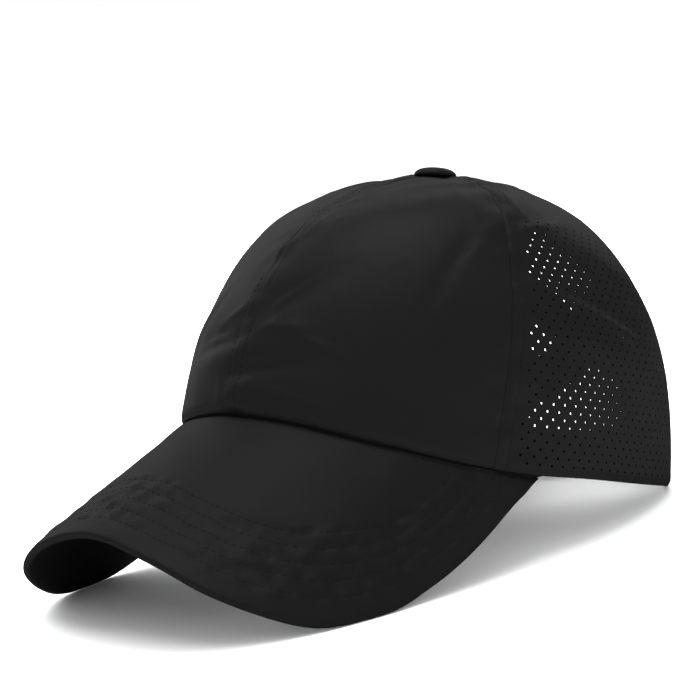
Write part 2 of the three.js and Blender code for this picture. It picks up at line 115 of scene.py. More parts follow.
def rim_height(turn):
    """The rim arches over the forehead, and stays a little higher where the peak ends."""
    angle = np.abs(turn)
    arch = np.where(angle < FRONT_RISE_ANGLE, np.cos(np.radians(90 * angle / FRONT_RISE_ANGLE)) ** 2, 0)
    return FRONT_RISE * arch + SIDE_LIFT * np.exp(-(((angle - SIDE_LIFT_ANGLE) / SIDE_LIFT_SPREAD) ** 2))


def roundness(turn):
    """The exponent of the crown's upright section in a direction."""
    c = np.cos(np.radians(turn))
    end = np.where(c > 0, FRONT_ROUNDNESS, BACK_ROUNDNESS)
    return SIDE_ROUNDNESS + (end - SIDE_ROUNDNESS) * c * c


def bare_crown(turn, rise):
    """The crown without folds, as points of the rim frame."""
    turn, rise = np.broadcast_arrays(np.asarray(turn, float), np.asarray(rise, float))
    m = roundness(turn)
    c = np.clip(np.cos(np.radians(rise)), 0, 1)
    s = np.clip(np.sin(np.radians(rise)), 0, 1)
    scale = (c ** m + s ** m) ** (-1 / m)
    low = rim_height(turn)
    lift = (CROWN_HEIGHT - low) * scale * s
    reach = plan_radius(turn) * scale * c
    return np.stack([
        reach * np.sin(np.radians(turn)),
        TOP_SHIFT * lift / CROWN_HEIGHT - reach * np.cos(np.radians(turn)),
        low + lift,
    ], -1)


HIGHEST_RISE = 89


def crown_normal(turn, rise, step=0.5):
    """The unit outward direction of the bare crown."""
    low = np.minimum(rise, HIGHEST_RISE)
    along = bare_crown(turn + step, low) - bare_crown(turn - step, low)
    up = bare_crown(turn, low + step) - bare_crown(turn, low - step)
    normal = np.cross(along, up)
    return normal / np.linalg.norm(normal, axis=-1, keepdims=True)


def ring_radius(turn, rise):
    """Distance of the bare crown from its upright middle line."""
    here = bare_crown(turn, rise)
    return np.hypot(here[..., 0], here[..., 1])


def rise_at(turn, height):
    """The rise at which the crown reaches a height above its rim."""
    m = roundness(turn)
    share = height / (CROWN_HEIGHT - rim_height(turn))
    return np.degrees(np.arctan(share / (1 - share ** m) ** (1 / m)))


def rise_of_reach(turn, reach):
    """The rise at which a level ring has a given reach from the middle."""
    m = roundness(turn)
    share = reach / plan_radius(turn)
    return float(np.degrees(np.arctan((1 - share ** m) ** (1 / m) / share)))


OPENING_TOP_RISE = rise_of_reach(180, OPENING_TOP_BEHIND_BUTTON)
PANEL_TOP_RISE = rise_of_reach(0, PANEL_TOP_HOLE)


def opening_angle(rise):
    """The back opening's edge, a pointed arch, in degrees from the back's middle line."""
    share = np.minimum(rise / OPENING_TOP_RISE, 1)
    half = OPENING_WIDTH / 2 * (1 - share * share) ** OPENING_POINTEDNESS
    return np.degrees(np.arcsin(np.minimum(half / ring_radius(OPENING_SIDE_ANGLE, rise), 1)))


def seam_angle(rise):
    """The turn of the seam between a front and a side panel."""
    return SEAM_ANGLE_LOW + (SEAM_ANGLE_HIGH - SEAM_ANGLE_LOW) * np.minimum(rise / SEAM_STRAIGHT_RISE, 1)


print("opening's point and panels' tops at a rise of", round(OPENING_TOP_RISE, 1), round(PANEL_TOP_RISE, 1))

# %% [markdown]
# ## Folds, creases and puckers
# Empty, soft cloth keeps a few broad dents and many small creases. The broad ones are in the solids too.
# The sharper creases, the dips along each seam and the fine unevenness are added here as real depth,
# because a crease that is only painted disappears from the side. Two short tables say where the folds are,
# and a smooth random sum of waves gives the unevenness, with fixed seeds so that the cap is the same each
# time.

# %% Tables of folds
# Each row: turn and rise, then depth, half length and half width as shares of the crown's height, and slant.
# A positive depth is a dent and a negative one a ridge.
BROAD_FOLDS = [
    (11, 27, 0.013, 0.17, 0.06, 42),
    (-13, 17, 0.012, 0.15, 0.055, 12),
    (8, 11, 0.011, 0.2, 0.05, 8),
    (99, 34, 0.02, 0.3, 0.09, -18),
    (97, 25, -0.012, 0.26, 0.07, -16),
    (-96, 33, 0.018, 0.28, 0.09, 16),
    (42, 62, 0.008, 0.3, 0.1, 20),
    (-40, 60, 0.008, 0.3, 0.1, -24),
    (150, 40, 0.02, 0.22, 0.16, 80),
    (-150, 40, 0.02, 0.22, 0.16, -80),
]
SHARP_CREASES = [
    (11.5, 27.6, -0.0055, 0.09, 0.012, 46),
    (13.5, 25.4, 0.0018, 0.08, 0.012, 46),
    (-13, 16.9, -0.005, 0.09, 0.012, 8),
    (-12, 15.0, 0.0016, 0.09, 0.012, 8),
    (8, 11.6, -0.0052, 0.1, 0.011, 12),
    (9, 9.9, 0.0018, 0.1, 0.012, 12),
    (15, 5.2, -0.004, 0.2, 0.012, -9),
    (14, 20, -0.0045, 0.08, 0.02, 2),
    (23, 17, -0.003, 0.12, 0.014, -16),
    (-6, 23, -0.0035, 0.06, 0.012, 30),
    (-20, 27, 0.002, 0.1, 0.02, 55),
    (-27, 22, -0.005, 0.12, 0.018, 64),
    (92, 31.6, -0.008, 0.16, 0.028, -15),
    (110, 27.6, -0.008, 0.14, 0.026, -20),
    (126, 20, -0.004, 0.12, 0.024, -46),
    (118, 36, 0.004, 0.16, 0.03, -34),
    (104, 58, 0.007, 0.2, 0.03, 64),
    (84, 47, -0.005, 0.14, 0.022, 22),
    (-88, 52, -0.008, 0.22, 0.024, 70),
    (-96, 66, -0.007, 0.2, 0.022, -8),
    (-110, 44, 0.006, 0.18, 0.024, 38),
    (96, 68, -0.007, 0.2, 0.024, 6),
    (-104, 26, -0.006, 0.14, 0.022, 20),
    (38, 74, 0.006, 0.18, 0.03, 60),
    (-34, 72, 0.006, 0.18, 0.03, -56),
    (55, 36, 0.004, 0.2, 0.03, 66),
    (-52, 40, 0.005, 0.2, 0.03, -62),
]


def fold_depth(turn, rise, table, strength=1.0):
    """How far the folds of a table push the cloth in."""
    depth = 0
    for fold_turn, fold_rise, deep, long, wide, slant in table:
        around = (turn - fold_turn + 180) % 360 - 180
        along = np.radians(around) * HALF_HEAD * np.cos(np.radians(rise))
        up = np.radians(rise - fold_rise) * CROWN_HEIGHT
        c, s = math.cos(math.radians(slant)), math.sin(math.radians(slant))
        p = (along * c + up * s) / (long * CROWN_HEIGHT)
        q = (up * c - along * s) / (wide * CROWN_HEIGHT)
        depth = depth + strength * deep * CROWN_HEIGHT * np.exp(-p * p - q * q)
    return depth


# %% Smooth random unevenness
def wave_field(seed, shortest, longest, count=26):
    """A smooth random function of place with about unit size, made of waves of the lengths given."""
    rng = np.random.default_rng(seed)
    heading = rng.normal(size=(count, 3))
    heading /= np.linalg.norm(heading, axis=1)[:, None]
    length = rng.uniform(shortest, longest, count)
    size = length / np.sqrt((length ** 2).sum() / 2)
    phase = rng.uniform(0, 2 * np.pi, count)
    waves = (heading * (2 * np.pi / length)[:, None]).T
    return lambda points: (np.sin(points @ waves + phase) * size).sum(-1)


def bump(distance, width):
    """A smooth hill of height 1 at distance 0."""
    return np.exp(-(distance / width) ** 2)


def soft_step(share):
    """A smooth climb from 0 to 1."""
    t = np.clip(share, 0, 1)
    return t * t * (3 - 2 * t)


sway = wave_field(seed=3, shortest=0.035, longest=0.09)
crumple = wave_field(seed=11, shortest=0.014, longest=0.034)
pucker = wave_field(seed=5, shortest=0.005, longest=0.011)
print("random waves at the button", [round(float(f(np.array([0, 0, CROWN_HEIGHT]))), 2)
                                     for f in (sway, crumple, pucker)])

# %% Depth of the finished cloth below the bare crown
SEAM_DIP = 0.0003
SEAM_LOW_SHARE = 0.35
SEAM_DEEP_RISE, SEAM_DEEPENING = 26.0, 16.0
SEAM_HALF_WIDTH = 0.0006
STITCH_DIP = 0.00012
STITCH_HALF_WIDTH = 0.0007
SEAM_SWELL = 0.0001
SEAM_SWELL_REACH = 0.0038
RIM_ROLL = 0.0011
RIM_ROLL_HEIGHT = 0.0014
CREASE_STRENGTH = 1.35
UNEVENNESS = 0.0006
CRUMPLE_RIDGE = 0.00026
CRUMPLE_WIDTH = 0.32
CRUMPLE_CALM_SHARE = 0.35
CRUMPLE_SEAM_REACH = 0.02
PUCKER = 0.0003
PUCKER_REACH = 0.008
HEM_PUCKER = 0.00012
PUCKER_STRETCH = np.array([0.45, 0.45, 1.0])
GATHER = 0.0003
GATHER_COUNT, GATHER_SWAY, GATHER_SWAYS = 7, 1.3, 3
GATHER_OUTER, GATHER_OUTER_FADE = 0.034, 0.02
GATHER_INNER, GATHER_INNER_FADE = 0.004, 0.006
NO_EDGE = 1
CENTRE_ROW = 0.0032
SIDE_ROW = 0.0045
HEM_ROW = 0.005


def seam_distances(turn, rise):
    """Signed distances from the centre seam, from the front seams (positive behind them) and the opening.

    The centre seam has a front part and, above the back opening, a back part. NO_EDGE stands for far away.
    """
    ring = ring_radius(turn, rise)
    front = np.radians((turn + 180) % 360 - 180) * ring
    back = np.radians(180 - np.abs(turn)) * ring
    centre = np.where(np.abs(turn) < 90, front, np.where(rise > OPENING_TOP_RISE, back, NO_EDGE))
    side = np.radians(np.abs(turn) - seam_angle(rise)) * ring
    edge = np.radians(180 - np.abs(turn) - opening_angle(rise)) * ring
    return centre, side, np.where(rise < OPENING_TOP_RISE, edge, NO_EDGE)


def relief(turn, rise):
    """How far the finished outer face lies inside the bare crown."""
    turn, rise = np.broadcast_arrays(np.asarray(turn, float), np.asarray(rise, float))
    here = bare_crown(turn, rise)
    centre, side, edge = seam_distances(turn, rise)
    depth = fold_depth(turn, rise, BROAD_FOLDS) + fold_depth(turn, rise, SHARP_CREASES, CREASE_STRENGTH)
    depth = depth + UNEVENNESS * sway(here)
    ring = ring_radius(turn, rise)
    gathered = soft_step((GATHER_OUTER - ring) / GATHER_OUTER_FADE)
    gathered = gathered * soft_step((ring - GATHER_INNER) / GATHER_INNER_FADE)
    gather_phase = np.radians(turn) * GATHER_COUNT + GATHER_SWAY * np.sin(np.radians(turn) * GATHER_SWAYS)
    depth = depth + GATHER * gathered * np.sin(gather_phase)
    by_seam = np.maximum(bump(side, CRUMPLE_SEAM_REACH), bump(centre, CRUMPLE_SEAM_REACH))
    crumpled = CRUMPLE_CALM_SHARE + (1 - CRUMPLE_CALM_SHARE) * by_seam
    depth = depth - CRUMPLE_RIDGE * crumpled * bump(crumple(here), CRUMPLE_WIDTH)
    for from_row in (centre - CENTRE_ROW, centre + CENTRE_ROW, side - SIDE_ROW, edge - HEM_ROW):
        depth = depth + STITCH_DIP * bump(from_row, STITCH_HALF_WIDTH)
    tight = SEAM_LOW_SHARE + (1 - SEAM_LOW_SHARE) * soft_step((rise - SEAM_DEEP_RISE) / SEAM_DEEPENING)
    depth = depth + SEAM_DIP * (tight * bump(centre, SEAM_HALF_WIDTH) + bump(side, SEAM_HALF_WIDTH))
    beside_side = side - SIDE_ROW / 2
    depth = depth - SEAM_SWELL * (bump(centre, SEAM_SWELL_REACH) + bump(beside_side, SEAM_SWELL_REACH))
    near = np.maximum(bump(centre, PUCKER_REACH), bump(beside_side, PUCKER_REACH))
    depth = depth + (PUCKER * near + HEM_PUCKER * bump(edge, HEM_WIDTH)) * pucker(here * PUCKER_STRETCH)
    rim = here[..., 2] - rim_height(turn)
    return depth + RIM_ROLL * bump(rim, RIM_ROLL_HEIGHT)


def crown_point(turn, rise, depth=0.0):
    """A point of the finished crown at a depth inside its outer face, standing."""
    inwards = relief(turn, rise) + depth
    return stand(bare_crown(turn, rise) - crown_normal(turn, rise) * np.asarray(inwards)[..., None])


some_relief = relief(np.arange(-180, 180, 2.0)[:, None], np.arange(0, 80, 2.0))
print("dents reach", round(float(1000 * some_relief.max()), 2), "mm")

# %% [markdown]
# ## Meshes from grids
# A cloth wall is two grids of points, outer and inner, joined along their borders. Writing the vertex and
# face lists directly gives clean quads, and each vertex also gets its place on the cloth as a UV map, so
# that the weave follows the panel and not the room.

# %% Grids to meshes
def wall(outer, inner):
    """Vertices and faces of a closed wall between two grids of points."""
    rows, columns = outer.shape[:2]
    index = np.arange(rows * columns).reshape(rows, columns)
    quads = np.stack([index[:-1, :-1], index[:-1, 1:], index[1:, 1:], index[1:, :-1]], -1).reshape(-1, 4)
    back = quads[:, ::-1] + rows * columns
    loop = np.concatenate([index[0, :-1], index[:-1, -1], index[-1, :0:-1], index[:0:-1, 0]])
    after = np.roll(loop, -1)
    side = np.stack([after, loop, loop + rows * columns, after + rows * columns], -1)
    points = np.concatenate([outer.reshape(-1, 3), inner.reshape(-1, 3)])
    return points, np.concatenate([quads, back, side])


def cloth_places(across, along):
    """The place on flat cloth of each point of a grid."""
    return np.stack(np.broadcast_arrays(across, along), -1).reshape(-1, 2)


def on_both_faces(places):
    """The cloth places of a wall, whose inner points repeat its outer ones."""
    return np.tile(places, (2, 1))


def tube(rings):
    """Vertices and faces through rings of points, with both ends closed by a fan round a hub."""
    count, size = rings.shape[:2]
    index = np.arange(count * size).reshape(count, size)
    ahead = np.roll(index, -1, axis=1)
    faces = np.stack([index[:-1], ahead[:-1], ahead[1:], index[1:]], -1).reshape(-1, 4).tolist()
    hub = count * size
    faces += [[hub, b, a] for a, b in zip(index[0], ahead[0])]
    faces += [[hub + 1, a, b] for a, b in zip(index[-1], ahead[-1])]
    return np.concatenate([rings.reshape(-1, 3), [rings[0].mean(0), rings[-1].mean(0)]]), faces


def with_hubs(places):
    """The cloth places of a tube, with those of its two hubs."""
    return np.concatenate([places, np.zeros((2, 2))])


def enclosed_volume(points, faces):
    """Volume inside a closed mesh, negative if its faces point inwards."""
    total = 0.0
    for face in faces:
        corners = points[np.asarray(face)]
        for k in range(1, len(corners) - 1):
            total += corners[0] @ np.cross(corners[k], corners[k + 1])
    return total / 6


def shade_smooth(mesh, crisp):
    """Smooth shading but for edges sharper than crisp degrees."""
    mesh.polygons.foreach_set("use_smooth", np.ones(len(mesh.polygons), bool))
    mesh.set_sharp_from_angle(angle=math.radians(crisp))


def make_piece(name, points, faces, places, material, crisp=40):
    """An object from points and faces, turned outwards, with each point's place on the cloth as its UV."""
    faces = [list(map(int, face)) for face in faces]
    if enclosed_volume(points, faces) < 0:
        faces = [face[::-1] for face in faces]
    mesh = bpy.data.meshes.new(name)
    mesh.from_pydata([tuple(p) for p in points], [], faces)
    layer = mesh.uv_layers.new(name="cloth")
    corner = np.empty(len(mesh.loops), dtype=np.int32)
    mesh.loops.foreach_get("vertex_index", corner)
    layer.data.foreach_set("uv", np.asarray(places, np.float32)[corner].ravel())
    mesh.materials.append(material)
    shade_smooth(mesh, crisp)
    piece = bpy.data.objects.new(name, mesh)
    bpy.context.scene.collection.objects.link(piece)
    return piece


def settle(piece, crisp=40):
    """Turns a piece with a Geometry Nodes modifier into a plain mesh."""
    evaluated = piece.evaluated_get(bpy.context.evaluated_depsgraph_get())
    piece_mesh = bpy.data.meshes.new_from_object(evaluated)
    piece.modifiers.clear()
    piece.data = piece_mesh
    shade_smooth(piece_mesh, crisp)


def add_tree(piece, tree, values):
    """Puts a node tree on a piece and sets its named inputs by their sockets' identifiers."""
    modifier = piece.modifiers.new(tree.name, "NODES")
    modifier.node_group = tree
    for item in tree.interface.items_tree:
        if item.item_type == "SOCKET" and item.in_out == "INPUT" and item.name in values:
            modifier[item.identifier] = values[item.name]


print("a wall of 2 by 2 points has", len(wall(np.zeros((2, 2, 3)), np.zeros((2, 2, 3)))[1]), "faces")

# %% [markdown]
# ## Shader arithmetic
# A material's maths is easier to read as an expression than as a heap of nodes. The first class wraps one
# socket and overloads the operators, so 1 - mask adds its Math node. Every other node comes from one method
# of the second class, which sets the node's own settings first and its sockets after that.

# %% Signals and materials
MIX_FIRST_COLOUR, MIX_SECOND_COLOUR, MIX_COLOUR_RESULT = 6, 7, 2
MIRROR_WHITE = (0.9, 0.9, 0.9, 1)


class Signal:
    """A shader socket that takes part in plain arithmetic."""

    def __init__(self, shader, socket):
        self.shader = shader
        self.socket = socket

    def combine(self, operation, first, second):
        return self.shader.add("ShaderNodeMath", {"operation": operation}, {0: first, 1: second})

    def __add__(self, other):
        return self.combine("ADD", self, other)

    def __sub__(self, other):
        return self.combine("SUBTRACT", self, other)

    def __rsub__(self, other):
        return self.combine("SUBTRACT", other, self)

    def __mul__(self, other):
        return self.combine("MULTIPLY", self, other)

    __radd__ = __add__
    __rmul__ = __mul__

    def sine(self):
        return self.combine("SINE", self, 0.0)


class SurfaceShader:
    """The shader of one material, whose nodes are added one by one."""

    def __init__(self, name):
        self.material = bpy.data.materials.new(name)
        self.material.use_nodes = True
        self.tree = self.material.node_tree
        self.tree.nodes.clear()

    def add(self, kind, settings, sockets, output=0):
        """One node: its type, its settings, its sockets' values or links, and the output that is wanted."""
        node = self.tree.nodes.new(kind)
        for name, value in settings.items():
            setattr(node, name, value)
        for name, value in sockets.items():
            if isinstance(value, Signal):
                self.tree.links.new(value.socket, node.inputs[name])
            else:
                node.inputs[name].default_value = value
        return Signal(self, node.outputs[output])

    def noise(self, places, scale, detail, roughness):
        """Smooth noise from 0 to 1, about scale blobs to the metre."""
        return self.add("ShaderNodeTexNoise", {"noise_dimensions": "3D"},
                        {"Vector": places, "Scale": scale, "Detail": detail, "Roughness": roughness}, "Fac")

    def colour_between(self, factor, first_grey, second_grey):
        """A grey that runs from one shade to another."""
        return self.add("ShaderNodeMix", {"data_type": "RGBA"}, {
            "Factor": factor,
            MIX_FIRST_COLOUR: (first_grey,) * 3 + (1,),
            MIX_SECOND_COLOUR: (second_grey,) * 3 + (1,),
        }, MIX_COLOUR_RESULT)

    def glossed(self, gloss, matt_sockets):
        """A matt surface with a small even share of bright gloss mixed in."""
        matt = self.add("ShaderNodeBsdfPrincipled", {}, {**matt_sockets, "Specular IOR Level": 0.0})
        shared = {name: matt_sockets[name] for name in ("Roughness", "Normal") if name in matt_sockets}
        bright = self.add("ShaderNodeBsdfPrincipled", {},
                          {**shared, "Base Color": MIRROR_WHITE, "Metallic": 1.0})
        return self.add("ShaderNodeMixShader", {}, {0: gloss, 1: matt, 2: bright})

    def finish(self, surface):
        """Joins a surface to the output and gives the material."""
        node = self.tree.nodes.new("ShaderNodeOutputMaterial")
        self.tree.links.new(surface.socket, node.inputs["Surface"])
        return self.material


# %% [markdown]
# ## Black cloth
# Thin black polyester isn't pure black. It scatters less than a hundredth of the light, and its smooth
# threads return about as much again as a soft gloss, which is what shows up each fold. A plain dielectric
# gloss is weak face on and far too strong at the cap's outline, so a small even share of bright gloss is
# mixed in instead. The weave is so fine that it shows only as a faint grain, so it is a shallow bump on the
# cloth's own UV places. Broad mottling changes the colour and the roughness a little.

# %% A recipe for cloth
BROAD_NOISE = {"scale": 55.0, "detail": 3.0, "roughness": 0.55}
GRAIN_NOISE = {"scale": 1400.0, "detail": 2.0, "roughness": 0.6}
BROAD_TONE, GRAIN_TONE, WEAVE_TONE = 2.0, 1.4, 0.12
WEAVE_HEIGHT, GRAIN_HEIGHT = 0.5, 0.6
WEAVE_STRENGTH = 0.5
GRAIN_WEAR, BROAD_WEAR = 0.1, 0.12
SHEEN_ROUGHNESS = 0.45


def cloth_material(name, shade, thread, roughness, sheen, gloss, weave_depth, mottle=0.12):
    """Woven cloth: shade is its grey, thread the pitch of its weave and mottle how uneven its colour is."""
    shader = SurfaceShader(name)
    places = shader.add("ShaderNodeUVMap", {"uv_map": "cloth"}, {}, "UV")
    across = shader.add("ShaderNodeSeparateXYZ", {}, {"Vector": places}, "X")
    along = shader.add("ShaderNodeSeparateXYZ", {}, {"Vector": places}, "Y")
    room = shader.add("ShaderNodeTexCoord", {}, {}, "Object")
    broad = shader.noise(room, **BROAD_NOISE)
    grain = shader.noise(room, **GRAIN_NOISE)
    turns = 2 * math.pi / thread
    weft = (across * turns).sine()
    warp = (along * turns).sine()
    weave = weft * warp
    tone = (broad - 0.5) * (BROAD_TONE * mottle) + (grain - 0.5) * (GRAIN_TONE * mottle)
    factor = tone + weave * WEAVE_TONE + 0.5
    colour = shader.colour_between(factor, shade * (1 - mottle), shade * (1 + mottle))
    height = weave * WEAVE_HEIGHT + grain * GRAIN_HEIGHT
    normal = shader.add("ShaderNodeBump", {},
                        {"Strength": WEAVE_STRENGTH, "Distance": weave_depth, "Height": height})
    worn = (grain - 0.5) * GRAIN_WEAR + (broad - 0.5) * BROAD_WEAR + roughness
    surface = shader.glossed(gloss, {
        "Base Color": colour,
        "Roughness": worn,
        "Normal": normal,
        "Sheen Weight": sheen,
        "Sheen Roughness": SHEEN_ROUGHNESS,
    })
    return shader.finish(surface)


SHELL = cloth_material(
    "black_polyester", shade=0.006, thread=0.00032, roughness=0.37, sheen=0.0,
    gloss=0.006, weave_depth=0.00003)
PEAK_CLOTH = cloth_material(
    "black_peak_polyester", shade=0.006, thread=0.00032, roughness=0.42, sheen=0.0,
    gloss=0.0044, weave_depth=0.00004)
BAND = cloth_material(
    "black_sweatband_knit", shade=0.006, thread=0.0007, roughness=0.85, sheen=0.01,
    gloss=0.002, weave_depth=0.00012, mottle=0.2)
STRAP = cloth_material(
    "black_strap_cloth", shade=0.0065, thread=0.0005, roughness=0.5, sheen=0.005,
    gloss=0.006, weave_depth=0.00006)
TAPE = cloth_material(
    "black_closure_tape", shade=0.016, thread=0.0009, roughness=0.75, sheen=0.02,
    gloss=0.004, weave_depth=0.0001, mottle=0.2)
print("cloths", [m.name for m in (SHELL, PEAK_CLOTH, BAND, STRAP, TAPE)])

# %% [markdown]
# ## Thread
# The topstitching is black polyester thread, a little rougher than the cloth and with about the same gloss.
# Object coordinates are enough for it, because each stitch is only about two millimetres long.

# %% The thread's material
TWIST_NOISE = {"scale": 2600.0, "detail": 1.0, "roughness": 0.5}
THREAD_DARK, THREAD_LIGHT = 0.005, 0.01
THREAD_ROUGHNESS, THREAD_WEAR = 0.5, 0.2
THREAD_GLOSS = 0.005


def thread_material():
    """Black thread whose twist shows as small changes of shade."""
    shader = SurfaceShader("black_thread")
    room = shader.add("ShaderNodeTexCoord", {}, {}, "Object")
    twist = shader.noise(room, **TWIST_NOISE)
    colour = shader.colour_between(twist, THREAD_DARK, THREAD_LIGHT)
    roughness = (twist - 0.5) * THREAD_WEAR + THREAD_ROUGHNESS
    return shader.finish(shader.glossed(THREAD_GLOSS, {"Base Color": colour, "Roughness": roughness}))


THREAD = thread_material()
print("thread", THREAD.name)

# %% [markdown]
# ## Stitches
# A topstitch is a short stretch of thread that dips into the cloth at both ends. Modelling a thousand of
# them by hand makes no sense: a node tree takes lines, sets points along them at the stitch pitch and puts
# a small rounded grain on each, turned along the line.

# %% The stitch tree
GRAIN_SEGMENTS, GRAIN_RINGS = 6, 4


def node_tree(name, inputs):
    """An empty Geometry Nodes tree with named inputs, its input and output nodes, and a way to add nodes."""
    tree = bpy.data.node_groups.new(name, "GeometryNodeTree")
    tree.interface.new_socket("Geometry", in_out="INPUT", socket_type="NodeSocketGeometry")
    for label, kind in inputs.items():
        tree.interface.new_socket(label, in_out="INPUT", socket_type=kind)
    tree.interface.new_socket("Geometry", in_out="OUTPUT", socket_type="NodeSocketGeometry")
    source = tree.nodes.new("NodeGroupInput")
    target = tree.nodes.new("NodeGroupOutput")

    def add(kind, settings=None, sockets=None):
        node = tree.nodes.new(kind)
        for key, value in (settings or {}).items():
            setattr(node, key, value)
        for key, value in (sockets or {}).items():
            if isinstance(value, bpy.types.NodeSocket):
                tree.links.new(value, node.inputs[key])
            else:
                node.inputs[key].default_value = value
        return node

    return tree, source.outputs, target.inputs, add


def stitch_tree():
    """Grains of thread along lines."""
    sizes = {"Pitch": "NodeSocketFloat", "Length": "NodeSocketFloat", "Width": "NodeSocketFloat",
             "Material": "NodeSocketMaterial"}
    tree, given, result, add = node_tree("stitches", sizes)
    lines = add("GeometryNodeMeshToCurve", sockets={"Mesh": given["Geometry"]})
    spaced = add("GeometryNodeResampleCurve", {"mode": "LENGTH"},
                 {"Curve": lines.outputs[0], "Length": given["Pitch"]})
    grain = add("GeometryNodeMeshUVSphere",
                sockets={"Segments": GRAIN_SEGMENTS, "Rings": GRAIN_RINGS, "Radius": 0.5})
    along = add("GeometryNodeInputTangent")
    turned = add("FunctionNodeAlignRotationToVector", {"axis": "X"}, {"Vector": along.outputs[0]})
    size = add("ShaderNodeCombineXYZ",
               sockets={"X": given["Length"], "Y": given["Width"], "Z": given["Width"]})
    placed = add("GeometryNodeInstanceOnPoints", sockets={
        "Points": spaced.outputs[0], "Instance": grain.outputs[0],
        "Rotation": turned.outputs[0], "Scale": size.outputs[0]})
    real = add("GeometryNodeRealizeInstances", sockets={"Geometry": placed.outputs[0]})
    painted = add("GeometryNodeSetMaterial",
                  sockets={"Geometry": real.outputs[0], "Material": given["Material"]})
    tree.links.new(painted.outputs[0], result["Geometry"])
    return tree


STITCHES = stitch_tree()


def make_stitches(name, lines, pitch=0.0025, length=0.0017, width=0.00026, slot="shell_cloth"):
    """Stitches along each line of points, as one piece of thread."""
    starts = np.cumsum([0] + [len(line) for line in lines[:-1]])
    edges = [(int(s + k), int(s + k + 1)) for s, line in zip(starts, lines) for k in range(len(line) - 1)]
    mesh = bpy.data.meshes.new(name)
    mesh.from_pydata([tuple(p) for p in np.concatenate(lines)], edges, [])
    piece = bpy.data.objects.new(name, mesh)
    bpy.context.scene.collection.objects.link(piece)
    add_tree(piece, STITCHES, {"Pitch": pitch, "Length": length, "Width": width, "Material": THREAD})
    settle(piece, crisp=180)
    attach(piece, "root")
    print(name, len(piece.data.polygons) // (GRAIN_SEGMENTS * GRAIN_RINGS), "stitches")


# %% [markdown]
# ## Front panels
# Each front panel is a gore between the centre seam and the side seam that ends under the button. Its grid
# runs in even steps of cloth, not of angle, so that the small creases have the same fineness everywhere.

# %% A grid on one panel
FRONT_MIDDLE_ANGLE, SIDE_MIDDLE_ANGLE = 30, 120
FRONT_COLUMNS, SIDE_COLUMNS = 62, 84
CORNER_ROUNDS = 3


def distance_walked(line):
    """The length of a line of points from its start to each of them."""
    return np.concatenate([[0], np.cumsum(np.linalg.norm(np.diff(line, axis=0), axis=1))])


def even_rises(turn, lowest, highest, samples=400):
    """Rises from lowest to highest in even steps of cloth along a section of the crown."""
    fine = np.linspace(lowest, highest, samples)
    walked = distance_walked(bare_crown(turn, fine))
    steps = int(round(walked[-1] / GRID))
    return np.interp(np.linspace(0, walked[-1], steps + 1), walked, fine), walked[-1]


def panel_piece(name, rises, columns, first_edge, last_edge, corner, hem):
    """One crown panel between two edges, with the hem's extra thickness inside.

    A corner rounds the bottom edge. It depends on the turn and the turn on the rise, so both are found in
    a few rounds.
    """
    share = np.linspace(0, 1, columns + 1)[None, :]
    base = rises[:, None]
    rise = np.broadcast_to(base, (len(rises), columns + 1)).copy()
    for _ in range(CORNER_ROUNDS):
        turn = first_edge(rise) + (last_edge(rise) - first_edge(rise)) * share
        rise = base + corner(turn, rise) * (1 - base / PANEL_TOP_RISE)
    points, faces = wall(crown_point(turn, rise), crown_point(turn, rise, CLOTH + hem(turn, rise)))
    places = cloth_places(np.radians(turn) * HALF_HEAD, np.radians(rise) * CROWN_HEIGHT)
    return make_piece(name, points, faces, on_both_faces(places), SHELL)


def gap_angle(rise):
    """Half of the small gap between two panels, as a turn."""
    return np.degrees(SEAM_GAP / 2 / ring_radius(SIDE_MIDDLE_ANGLE, rise))


def no_corner(turn, rise):
    """A front panel's bottom edge isn't rounded."""
    return 0 * turn


def rim_hem(turn, rise):
    """Extra thickness of the hem that runs round the rim."""
    height = bare_crown(turn, rise)[..., 2] - rim_height(turn)
    return HEM * (1 - soft_step((height - HEM_WIDTH) / HEM_FALL))


# %% Two front panels
front_rises, front_length = even_rises(FRONT_MIDDLE_ANGLE, 0, PANEL_TOP_RISE)
for label, side in (("left", 1), ("right", -1)):
    panel = panel_piece(
        "front_panel_cloth_" + label, front_rises, FRONT_COLUMNS,
        lambda rise, side=side: side * gap_angle(rise),
        lambda rise, side=side: side * (seam_angle(rise) - gap_angle(rise)),
        no_corner, rim_hem)
    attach(panel, "root")
    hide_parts("front_panel_" + label)
    print(panel.name, round(1000 * front_length), "mm of cloth from rim to top,",
          len(panel.data.polygons), "faces")

# %% [markdown]
# ## Perforated side panels
# The holes are punched through the cloth in staggered rows. A texture with alpha could fake them, but then
# no light would pass at an angle and the mesh would have no holes. Here a node tree puts a drill on each
# place, turned along the cloth's outward direction, and takes all the drills out of the panel at once.

